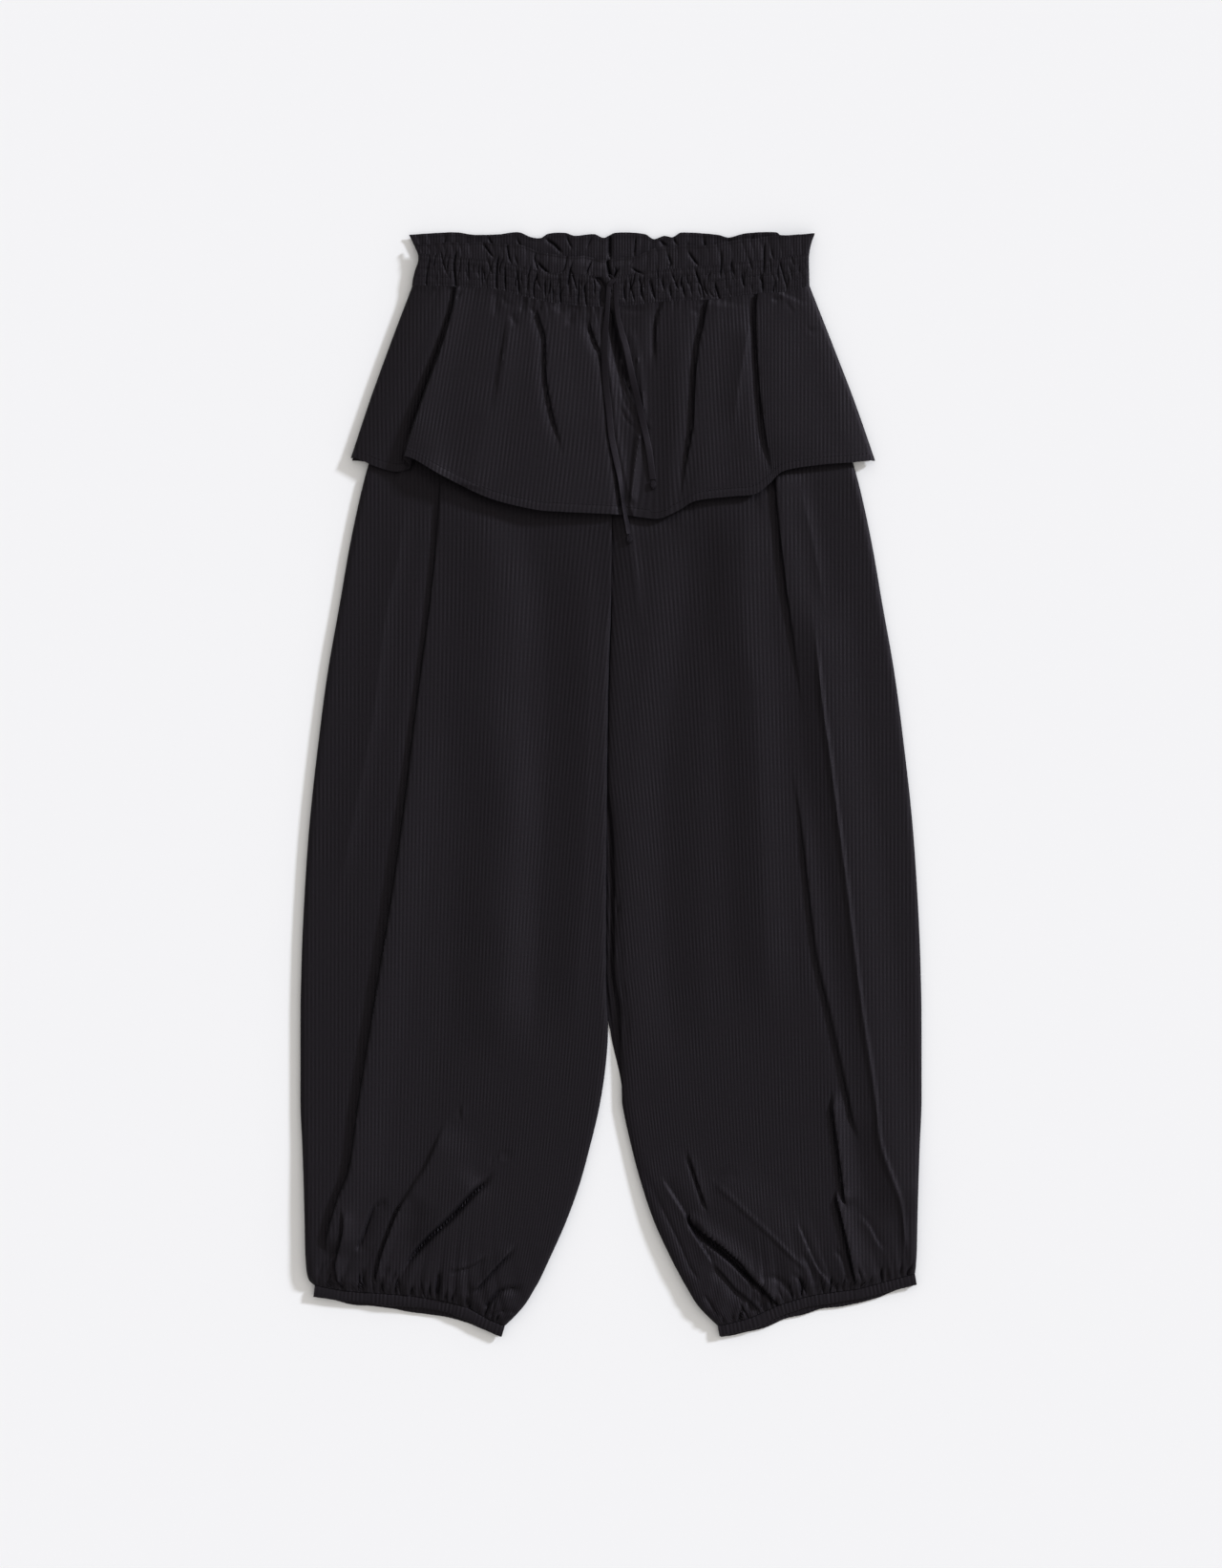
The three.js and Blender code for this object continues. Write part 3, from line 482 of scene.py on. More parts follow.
def side_x(side, y):
    """Where a leg's outer edge lies. Right and left are the wearer's."""
    return SIGN[side] * along(LEG_OUTLINE, "y", "outer", y)


def inseam_x(side, y):
    """Where a leg's inner edge lies."""
    return along(LEG_OUTLINE, "y", "centre", y) + SIGN[side] * along(LEG_OUTLINE, "y", "gap", y) / 2


def front_inseam_x(side, y):
    """Where the inner edge of a leg's front lies: on the left leg, short of it by the opening."""
    return inseam_x(side, y) + (along(OPENING, "y", "width", y) if side == "left" else 0)


print("widest across both legs:", 2 * LEG_OUTLINE["outer"].max(), "mm")

# %% [markdown]
# ## Folds of the legs
# Each leg has a few long folds that hang from the peplum, and many short ones that run out of the
# elastic cuff. They are placed one by one, because no two are alike, and the left and right leg
# differ as they do on a pair laid out by hand. The wearer's right leg has one long lap down its
# side. The left leg has a sharp ridge down its side and, low on the inside, a few deep laps where
# the fullness of the balloon leg turns under. A row holds the fold's height and width on the left
# of its line, the same on the right, how far it fades in at its top and out at its bottom, and the
# places that its line goes through, all in millimetres.

# %% Folds of the legs, from the longest to the smallest
LEG_FOLDS = {
    "right": [
        (-1.4, 14, 2.8, 70, 0, 20, [(-151, 290), (-152, 262), (-156, 205), (-162, 150), (-176.5, 39.5),
                                    (-191, -78), (-209.7, -193), (-224, -283), (-231.5, -339),
                                    (-243, -370), (-251, -399), (-255, -418)]),
        (0.4, 12, 2.8, 34, 160, 14, [(-169, 91), (-182, -16), (-200.5, -137), (-217, -241), (-229, -318),
                                      (-233, -346), (-243, -370), (-251, -399), (-255, -418)]),
        (1.2, 24, 1.2, 13, 60, 60, [(-182, 260), (-189.5, 198), (-200, 150), (-210, 69), (-219, 17),
                                    (-234, -56), (-241, -108)]),
        (3.2, 46, 3.2, 38, 60, 60, [(-117, 270), (-106, 198), (-103, 143), (-108, 76), (-101, 17),
                                    (-97, -34), (-103, -93), (-99, -145), (-101, -193), (-105, -255)]),
        (-2.2, 30, -2.2, 34, 80, 80, [(-62, 240), (-58, 60), (-62, -80), (-72, -250)]),
        (0.9, 24, 0.9, 20, 80, 80, [(-20, 220), (-20, 60), (-24, -80), (-34, -240)]),
        (-2.0, 6, 3.0, 16, 16, 6, [(-241, -376), (-237.5, -391), (-239.5, -407), (-244.5, -425),
                                   (-243.5, -439), (-239.8, -450)]),
        (-1.2, 6, 1.0, 8, 4, 4, [(-244, -417), (-253, -427), (-260, -435)]),
        (-4.5, 5, -2.5, 13, 10, 8, [(-197, -371), (-208.7, -377), (-214, -387), (-220, -404.7),
                                    (-227, -416.5)]),
        (0.4, 20, 3.2, 44, 30, 20, [(-146, -298), (-164, -339), (-175, -356), (-188, -378)]),
        (-2.2, 8, 3.2, 16, 12, 6, [(-180, -366), (-188, -378), (-195.8, -397), (-204, -420),
                                   (-209.5, -444)]),
        (-7.0, 4.2, -6.5, 5.5, 26, 34, [(-103.5, -344), (-112.3, -356), (-122.9, -365), (-142.7, -386.4),
                                    (-163.9, -406), (-179, -424), (-186, -440)]),
        (3.6, 30, 2.6, 26, 20, 30, [(-112, -350), (-132, -369), (-155, -393), (-175, -415)]),
        (-1.6, 6, 0.6, 5, 5, 5, [(-86, -333), (-98, -332), (-109, -338)]),
        (-3.4, 4, -2.4, 5, 4, 2, [(-154.8, -434), (-153.3, -440), (-154.8, -454)]),
        (1.4, 9, -1.6, 8, 8, 4, [(-111, -420), (-124.5, -429), (-143, -433.5)]),
        (2.6, 12, -2.8, 6, 14, 6, [(-84, -411), (-104.7, -432), (-123, -453)]),
        (-4.2, 5, -3.6, 6, 10, 4, [(-78, -450), (-97, -451), (-105, -458), (-112.3, -467)]),
        (-1.6, 4, -1.6, 4, 4, 4, [(-82, -471), (-95.6, -469), (-108, -473)]),
        (-1.8, 4, -1.4, 3.5, 3, 2, [(-126.7, -457), (-124.5, -472)]),
        (-1.4, 4, -1.2, 4, 4, 3, [(-196, -430), (-203.4, -437)]),
        (-1.6, 4, -1.4, 4, 4, 3, [(-191, -434), (-198.8, -449)]),
        (-1.4, 4, -1.4, 4, 4, 3, [(-221, -431), (-220, -444)]),
        (-1.2, 9, 0.9, 9, 6, 6, [(-134, -286), (-132, -299)]),
    ],
    "left": [
        (-1.4, 14, 4.0, 36, 0, 150, [(144.5, 290), (146.3, 264), (150, 224), (155.5, 176), (161, 135),
                                     (166.6, 91), (172, 54)]),
        (1.2, 15, 1.2, 14, 30, 40, [(167, 265), (179.5, 213), (190.6, 150)]),
        (1.8, 5, 2.0, 4.5, 50, 14, [(181, 140), (187, 76), (194, 25), (201.6, -34), (209, -90), (222, -196),
                                   (231, -255), (235.5, -288), (238.8, -320), (250.6, -354), (257.3, -374),
                                   (260.5, -400), (260.7, -418)]),
        (3.8, 26, 3.6, 40, 60, 30, [(177, 180), (187, 76), (201.6, -34), (222, -196), (235.5, -288),
                                    (247, -345), (258, -390)]),
        (-1.2, 14, 2.6, 24, 90, 30, [(159, 17), (168.4, -34), (177.7, -115), (183, -156), (192.4, -196),
                                      (203.5, -246), (211, -280), (215.3, -302), (223, -320)]),
        (3.0, 36, 3.0, 30, 50, 90, [(123, 260), (117, 187), (118.7, 131), (126, 91), (128, 61), (133, -40),
                                    (138, -150), (142, -230)]),
        (-2.4, 32, -2.4, 36, 60, 90, [(76, 250), (61, 113), (47, 2), (50, -182), (62, -270)]),
        (1.2, 12, 1.2, 10, 8, 60, [(14, 236), (19, 204), (23, 170), (26, 130)]),
        (-2.4, 6, 4.0, 18, 20, 8, [(196.5, -272), (197.7, -292), (201, -317), (206.9, -361),
                                   (208.6, -376)]),
        (-3.0, 6, 4.4, 16, 12, 4, [(198.5, -361), (203.5, -379), (211.9, -414.6), (215.3, -431),
                                   (219, -447)]),
        (0.9, 11, -0.9, 9, 10, 8, [(218, -382), (228.7, -392.7), (237, -408), (244, -416)]),
        (-1.6, 5, -1.2, 5, 6, 3, [(196.8, -413), (205, -421), (209.4, -435), (210.3, -443)]),
        (-2.2, 6, -1.6, 6, 8, 3, [(169, -416), (176.6, -430), (183.4, -453)]),
        (1.1, 9, -1.2, 7, 12, 4, [(165, -390), (181.7, -428), (191.8, -441), (200, -452)]),
        (1.3, 3.4, 1.4, 3.6, 14, 12, [(88, -353), (104.4, -366.7), (124.6, -386), (144.7, -404.5),
                                    (163.2, -423), (176, -434)]),
        (1.6, 34, 1.8, 40, 14, 12, [(88, -353), (124.6, -386), (163.2, -423), (176, -434)]),
        (-1.2, 5, -1.0, 5, 6, 6, [(89, -353), (99, -348), (114.5, -347)]),
        (-5.5, 8, 3.2, 18, 6, 8, [(69, -383), (75.8, -396), (96, -410), (107.7, -419.6), (117.8, -428.8),
                                   (124.6, -438), (141.4, -455), (151.4, -467)]),
        (-3.2, 7, 1.2, 10, 12, 8, [(66.5, -327), (72.5, -340.6), (77.5, -355.7), (86, -380)]),
        (-5.0, 6, -5.0, 5, 10, 20, [(70, -387), (84, -404), (101, -418), (116, -431.5), (132, -447.5)]),
        (1.2, 13, -2.0, 15, 14, 10, [(44, -350), (64, -381), (72.5, -399), (91, -428)]),
        (-3.2, 13, 0.8, 10, 8, 4, [(90, -427), (101, -438), (111, -450), (121, -458), (134, -470)]),
        (-1.3, 5, -0.8, 5, 10, 6, [(27, -342), (45.6, -377.6), (60.7, -408), (70.8, -431), (79, -441)]),
        (-1.6, 4, -1.2, 4, 4, 2, [(82.5, -454), (96, -475)]),
        (-1.8, 5, -1.8, 5, 4, 3, [(133, -441), (143, -439), (151.4, -443), (158, -451.5), (163, -457)]),
        (-1.6, 4, -1.6, 4, 4, 2, [(160, -436), (168.2, -442), (168.2, -454)]),
        (-1.6, 4, -1.4, 4, 4, 2, [(129.6, -457), (136.3, -470)]),
    ],
}
print({side: len(folds) for side, folds in LEG_FOLDS.items()}, "folds")

# %% [markdown]
# ## Peplum
# The peplum is a flared frill. It is gathered a little into the seam under the waistband and falls
# in cone-shaped flutes, each narrow at the seam and wide at the hem. A table of rails gives its
# flare: lines from seam to hem along valleys and crests, with the cloth a smooth curve between
# them. One tuck near the wearer's right side lies right over on itself, so there the rails turn
# back. The rails come before the legs, because the legs lie lower under the peplum.

# %% Rails: x at four levels, y of the hem, and the rise at the three levels below the seam
RAILS = table("seam high low hem edge rise1 rise2 rise3", [
    (-176.5, -196, -214.5, -231.5, 289, 0, 0, 0.5),        # edge on the wearer's right
    (-160, -176, -193, -209, 281, 0.6, 0.8, 1.4),
    (-144, -160, -177, -192, 276.5, 1.0, 1.2, 1.8),        # before the tuck
    (-135, -149, -165, -181, 278.5, 0.3, 0.6, 1.2),        # the tuck: under, turn, edge, crest
    (-134.5, -148, -163, -179, 281, 1.8, 3.2, 4.2),
    (-138, -152, -168.5, -184, 289, 4.0, 7.0, 10.0),
    (-131, -147, -163, -174, 286.5, 4.4, 8.0, 11.5),
    (-118, -130, -140, -148, 271.5, 4.4, 7.8, 11.2),
    (-95, -100, -104, -108, 252.5, 4.4, 7.4, 10.4),        # wide field
    (-76, -73, -71, -68, 242.5, 4.4, 7.0, 9.4),
    (-65, -57.5, -54, -44, 240.5, 4.2, 6.4, 8.4),          # second fold and its crest
    (-50, -42, -34, -22, 239.5, 3.4, 5.2, 6.8),
    (-20, -8.5, -1, 11, 238, 2.6, 3.2, 4.2),               # third fold and its crest
    (-6, 8, 16, 26, 236, 0.8, 1.4, 2.6),
    (42, 40, 40, 41, 234.5, 1.0, 1.8, 3.6),                # fourth fold and its crest
    (60, 58, 56, 51, 237.5, 2.6, 3.4, 4.8),
    (86, 77, 73.5, 62, 243, 2.6, 3.4, 4.4),                # fifth fold and its crest
    (96, 90, 86, 76, 250.5, 2.6, 3.4, 5.2),
    (112, 107, 103, 106, 254.2, 2.8, 3.4, 4.6),
    (124, 121, 118, 128, 256.5, 3.0, 3.6, 4.4),
    (132, 129, 132, 141, 266, 2.4, 3.0, 3.8),              # sixth fold and its crest
    (143, 143, 147, 154, 277, 2.4, 3.2, 4.6),
    (156, 164, 175, 186, 282.5, 1.4, 2.4, 4.0),
    (168, 183, 199, 213, 284.6, 0.6, 1.2, 2.4),
    (176.5, 197, 217, 235, 286.5, 0, 0, 0.8)])             # edge on the left
RAIL_COUNT = len(RAILS["seam"])
RAILS["rise0"] = np.zeros(RAIL_COUNT)
HEM_ORDER = np.argsort(RAILS["hem"])
HEM_X, HEM_Y = RAILS["hem"][HEM_ORDER], RAILS["edge"][HEM_ORDER]
print(RAIL_COUNT, "rails; the hem is lowest at", HEM_Y.min(), "mm")

# %% [markdown]
# ## Front legs
# Each front leg is one sheet from the seam under the waistband to its cuff. Its side edges roll
# over and under, so an edge is a soft bend of cloth and not a cut line. At the inside of the left
# leg the roll is wider, because the leg is open there and its cloth comes round from the back. The
# grid has more rows near the cuff, where the folds are small.

# %% Grid of a front leg
EDGE_ROLL = 6.0            # width of the bend at an outer edge
INSEAM_ROLL = 11.0         # the same at the inner edge of the left leg, below the crotch
SEAM_ROLL = 2.6            # and at the centre seam
ROLL_COLUMNS = 9
UNDER_TURN = math.radians(-55)     # how far the bend goes under
ROW_CROWDING, CROWDED_SHARE = 2.4, 0.65
SETTLING_ROUNDS = 14       # x and y depend on each other, so they are worked out again and again,
FIRST_TOP, FIRST_FOOT = 430.0, -460.0      # and y starts from a straight line between these


def roll_columns(columns):
    """For each column: depth into its edge's roll, height share, and share across the middle."""
    turn = np.linspace(UNDER_TURN, math.pi / 2, ROLL_COLUMNS + 1)[:-1]
    middle = np.linspace(0, 1, columns - 2 * ROLL_COLUMNS)
    depth = np.concatenate([1 - np.cos(turn), np.ones_like(middle), (1 - np.cos(turn))[::-1]])
    rise = np.concatenate([np.sin(turn), np.ones_like(middle), np.sin(turn)[::-1]])
    share = np.concatenate([np.zeros_like(turn), middle, np.ones_like(turn)])
    return depth[None, :], rise[None, :], share[None, :]


def leg_grid(side, columns, rows):
    """Where the points of a front leg lie, row by row from the waist seam down to the cuff."""
    depth, rise, part = roll_columns(columns)
    down = np.linspace(0, 1, rows)
    down = mix(down, 1 - (1 - down) ** ROW_CROWDING, CROWDED_SHARE)[:, None] * np.ones((1, columns))
    y = mix(FIRST_TOP, FIRST_FOOT, down)
    for _ in range(SETTLING_ROUNDS):
        start = side_x(side, y)
        width = np.abs(front_inseam_x(side, y) - start)
        free = smooth(CROTCH_Y + 12, CROTCH_Y - 30, y)
        roll_inner = mix(SEAM_ROLL, INSEAM_ROLL if side == "left" else EDGE_ROLL, free)
        distance = mix(EDGE_ROLL * depth, width - roll_inner * depth, part)
        x = start - SIGN[side] * distance
        end = along(CUFF_SEAM[side], "reach", "y", np.abs(x))
        y = mix(along(FRONT_BAND, "x", "bottom", x), end, down)
    return x, y, y - end, rise + 0 * x, part + 0 * x, free, distance / width


for side in ("right", "left"):
    print(side, "leg reaches down to", round(float(leg_grid(side, 60, 40)[1].min()), 1), "mm")

# %% [markdown]
# Just above the cuff the leg is fuller, and the elastic throws it into gathers: short sharp creases
# out of the cuff's seam, short pleats, and longer ones that fade upwards. The cloth lies low under
# the peplum and in a trench just below its hem, where the hem's shadow falls, and rises from there.

# %% Front leg sheets
FRONT_LEG_TOP = 6.7        # height of the cloth's face below the peplum
FRONT_LEG_HIDDEN = 4.0     # its height under the peplum
FRONT_LEG_LOWEST = 2.4
FRONT_CUFF_TOP = 5.6
CUFF_DIP = 10.0            # the leg comes down to its cuff over this distance
ROLL_FLOOR = 0.8           # how low the cloth goes where it turns under
ROLL_MIDDLE = (0.5, 0.62)  # where it turns, as a share of its height, closed and free
SEAM_EDGE_DROP = 0.9       # how far the closed inner edge dips into the centre seam
WAVER = 0.35               # slow unevenness of the lying cloth
GRAIN_FAN = 0.12           # how much the rib leans away from the centre seam
TRENCH = {"width": 4.5, "wider_by": 12.0, "beside_tuck": -158, "over": 13}
POUCH = 2.2                # how much the leg swells above its cuff
CREASE_STEP = 6.6
SHORT_GATHERS = {"spacing": 7.4, "skew": 1.5, "reach": 10.0, "height": 2.6}
LONG_GATHERS = {"spacing": 17.0, "skew": 1.5, "reach": 26.0, "height": 2.5}
LEG_SEED = {"right": 11, "left": 31}
SEAM_DIP = {"right": -0.4, "left": 1.8}    # the left leg goes down to the centre seam, under the right
SEAM_DIP_WIDTH = 7.0
INSEAM_CREASE = (2.2, 3.4, [(5.2, -100), (6.4, -126), (7.6, -146), (10.4, -182), (13.6, -217),
                            (15.6, -247)])


def cuff_creases(side):
    """Short sharp creases that run up from the cuff's seam, one in about every 7 mm."""
    chance = np.random.RandomState(61 if side == "right" else 63)
    creases = []
    seam = CUFF_SEAM[side]
    for reach in np.arange(seam["reach"].min() + 6, seam["reach"].max() - 4, CREASE_STEP):
        reach = reach + chance.uniform(-2.4, 2.4)
        foot = float(along(seam, "reach", "y", reach)) - 1
        length, slant, bow = chance.uniform(6, 20), chance.uniform(-0.5, 0.5), chance.uniform(-1.5, 1.5)
        x = SIGN[side] * reach
        line = [(x + slant * length, foot + length),
                (x + slant * length / 2 + bow, foot + length / 2), (x, foot)]
        creases.append((chance.uniform(1.4, 3.6), 3.8, line))
    if side == "left":
        creases.append(INSEAM_CREASE)
    return creases


def gathers(run, away, sizes, seed):
    """Pleats along a seam, that fade with the distance away from it."""
    fade = np.exp(-np.clip(away, 0, None) / sizes["reach"])
    return pleats(run, sizes["spacing"], seed, sizes["skew"]) * fade * sizes["height"]


def front_leg(side, columns=300, rows=156):
    """The front of one leg, from the seam under the waistband to its cuff."""
    x, y, above, rise, part, free, share = leg_grid(side, columns, rows)
    loose = smooth(0, CUFF_DIP, above)
    below_hem = np.interp(x, HEM_X, HEM_Y) - y
    shown = smooth(-12, 4, below_hem)
    fold, lean = fold_lines(LEG_FOLDS[side], x, y)
    fold *= smooth(-2, 7, above) * shown
    pouch = POUCH * smooth(170, 50, above) * smooth(-4, 26, above)
    run = np.abs(x) + 0.35 * above * np.sin(share * 5.0)
    seed = LEG_SEED[side]
    gathered = gathers(run, above, SHORT_GATHERS, seed)
    gathered = gathered + gathers(run, above - 5, LONG_GATHERS, seed + 7) * loose
    beside_tuck = np.exp(-(((x - TRENCH["beside_tuck"]) / TRENCH["over"]) ** 2))
    trench = TRENCH["width"] + TRENCH["wider_by"] * beside_tuck
    body = mix(FRONT_LEG_HIDDEN, FRONT_LEG_TOP, smooth(-3, trench, below_hem))
    level = mix(FRONT_CUFF_TOP, body, loose) + pouch + fold + gathered * smooth(-1.5, 2, above)
    level = level + WAVER * wander(x, 46, seed + 3) * wander(y, 130, seed + 4) * loose * shown
    from_seam = (1 - share) * np.abs(front_inseam_x(side, y) - side_x(side, y))
    level = level - SEAM_DIP[side] * np.exp(-((from_seam / SEAM_DIP_WIDTH) ** 2)) * (1 - free)
    sink, lip = creased(cuff_creases(side), x, y)
    level = np.maximum(level - sink, FRONT_LEG_LOWEST)
    middle = mix(*ROLL_MIDDLE, free) * level
    under = -rise / abs(math.sin(UNDER_TURN))
    rolled = np.where(rise > 0, mix(middle, level, rise), mix(middle, ROLL_FLOOR, under))
    seam = np.where(part < 0.5, 1.0, free)
    z = mix(level - SEAM_EDGE_DROP * (1 - np.clip(rise, 0, 1)), rolled, seam)
    u = x + SIGN[side] * GRAIN_FAN * (y - 60) * share**2
    x = x + (lean * shown * loose + lip) * np.clip(rise, 0, 1)
    return sheet(f"front_leg_{side}_cloth", x, y, z, u, y, replaces=[f"front_leg_{side}"])


front_legs = {side: front_leg(side) for side in ("right", "left")}

# %% [markdown]
# ## Back legs
# The backs lie face down on the table under the fronts. They are flat where they rest, and under
# the peplum the back frill lifts them a little. From above a narrow edge of them shows at the
# cuffs. In the opening at the crotch a strip of the left one shows too, raised a little into a soft
# roll, and it reaches in under the edge of the right leg. The backs close the legs, so the trousers
# are cloth all round.

# %% Back leg sheets
BACK_TOP = 0.6
BACK_LIFT = 1.8
BACK_CUFF_DROP = 4.5       # how far the back of a cuff hangs below its front in the middle
BACK_INSET = 2.2           # a back's edges lie this far inside those of its front
SEAM_INSET = {"right": 4.1, "left": -3.9}  # at the centre seam, where the left one reaches over
OPENING_ROLL = {"height": 2.2, "from_edge": 4.2, "left_width": 4.2, "right_width": 1.9}
COLUMN_CROWDING = 1.8      # columns lie closer towards the inner edge
PEPLUM_BACK_HEM = {"middle": 262.0, "side": 287.0, "straight_to": 140.0, "ends_at": 232.0}
BACK_BAND_BOTTOM, BACK_BAND_TOP = 443.5, 471.0


def back_hem_at(x):
    """Where the hem of the back frill lies."""
    hem = PEPLUM_BACK_HEM
    return mix(hem["middle"], hem["side"], smooth(hem["straight_to"], hem["ends_at"], np.abs(x)))


def back_lift(x, y):
    """How far the back frill lifts the backs of the legs."""
    return BACK_LIFT * smooth(back_hem_at(x) - 24, back_hem_at(x) - 9, y)


def back_leg(side, columns=64, rows=96):
    """The back of one leg, and the line of its lower edge."""
    share = (1 - (1 - np.linspace(0, 1, columns)) ** COLUMN_CROWDING)[None, :] * np.ones((rows, 1))
    down = np.linspace(0, 1, rows)[:, None] * np.ones((1, columns))
    y = mix(BACK_BAND_BOTTOM, FIRST_FOOT, down)
    for _ in range(SETTLING_ROUNDS):
        start = side_x(side, y) - SIGN[side] * BACK_INSET
        if side == "right":
            inset = mix(SEAM_INSET[side], BACK_INSET, smooth(-190, -225, y))
        else:
            inset = mix(SEAM_INSET[side], 0, smooth(-192, -220, y))
            inset = inset + BACK_INSET * smooth(-222, -268, y)
        x = mix(start, inseam_x(side, y) + SIGN[side] * inset, share)
        end = along(CUFF_SEAM[side], "reach", "y", np.abs(x)) - BACK_CUFF_DROP * np.sin(math.pi * share)
        y = mix(BACK_BAND_BOTTOM - 0.3, end, down)
    z = BACK_TOP + back_lift(x, y)
    if side == "left":
        roll = OPENING_ROLL
        across = x - front_inseam_x(side, y) + roll["from_edge"]
        width = np.where(across < 0, roll["left_width"], roll["right_width"])
        in_opening = smooth(30, -10, y) * smooth(-236, -190, y)
        z = z + roll["height"] * np.exp(-((across / width) ** 2)) * in_opening
    u = x + SIGN[side] * GRAIN_FAN * y * smooth(0.25, 1.0, share)
    piece = sheet(f"back_leg_{side}_cloth", x, y, z, u, y, replaces=[f"back_leg_{side}"])
    return piece, x[-1], y[-1]


back_legs = {side: back_leg(side) for side in ("right", "left")}

# %% [markdown]
# ## Cuffs
# Each ankle is turned up into a narrow casing round an elastic 8 mm wide. Slack, the elastic pulls
# the cloth into small ripples that run across the casing. The front and back halves are made the
# same way along the end of their leg, each as a flat loop of cloth that is closed at the ends.

# %% Cuff casings
CUFF_HEIGHT = 10.0
CUFF_STRAIGHTEN = 0.35     # 0 lets the casing hang square to its seam, 1 straight down the trousers
CUFF_RIPPLE = 4.3
CUFF_SIDES = 22
CUFF_SQUARE = 0.6          # 1 is an oval section, 0 a rectangle
CUFF_HALF_THICKNESS = 1.5
CUFF_AIM = 9               # points on each side that decide which way is square to the seam
FRONT_CUFF_MIDDLE, BACK_CUFF_MIDDLE = 4.6, 1.5
CUFF_SEED = {"right": 51, "left": 71}


def cuff(name, x, y, z_middle, seed, replaces, columns=230):
    """A casing under the seam line x, y: a loop of cloth whose section is a flat oval."""
    x, y, run = along_line(x, y, columns)
    ends = np.arange(columns)
    before, after = np.clip(ends - CUFF_AIM, 0, None), np.clip(ends + CUFF_AIM, None, columns - 1)
    square = np.stack([y[after] - y[before], x[before] - x[after]], 1)
    square *= np.where(square[:, 1:] > 0, -1, 1)
    square /= np.linalg.norm(square, axis=1)[:, None]
    down = mix(square, np.array([[0.0, -1.0]]), CUFF_STRAIGHTEN)
    down /= np.linalg.norm(down, axis=1)[:, None]
    turn = np.linspace(0, 2 * math.pi, CUFF_SIDES + 1)
    around = turn[:, None]
    ripple = pleats(run, CUFF_RIPPLE, seed)[None, :]
    slow = wander(run, 17, seed + 2)[None, :]
    close = np.clip(np.minimum(run, run[-1] - run) / 2.5, 0.0, 1.0)[None, :] ** 0.5
    drop = CUFF_HEIGHT / 2 * (1 - np.cos(around)) + (0.3 * ripple + 0.9 * slow) * (1 - np.cos(around)) / 2
    face = np.sign(np.sin(around)) * np.abs(np.sin(around)) ** CUFF_SQUARE
    z = z_middle + face * (CUFF_HALF_THICKNESS - 0.4 + 0.4 * ripple + 0.4 * slow) * close
    px = x[None, :] + down[None, :, 0] * drop
    py = y[None, :] + down[None, :, 1] * drop
    round_it = turn * CUFF_HEIGHT / math.pi
    return tube(name, px, py, np.maximum(z, 0.0), run, round_it, replaces=replaces)


for side, seed in CUFF_SEED.items():
    edge_x, edge_y, *_ = leg_grid(side, 120, 80)
    _, back_x, back_y = back_legs[side]
    front, back = f"front_cuff_{side}", f"back_cuff_{side}"
    cuff(f"{front}_cloth", edge_x[-1], edge_y[-1], FRONT_CUFF_MIDDLE, seed, [front])
    cuff(f"{back}_cloth", back_x, back_y, BACK_CUFF_MIDDLE, seed + 5, [back])

# %% [markdown]
# ## Folds of the peplum
# The folds of the peplum are rows like those of the legs. The long ones are laps whose left side
# dips under the right; the short ones are puckers below the casing.

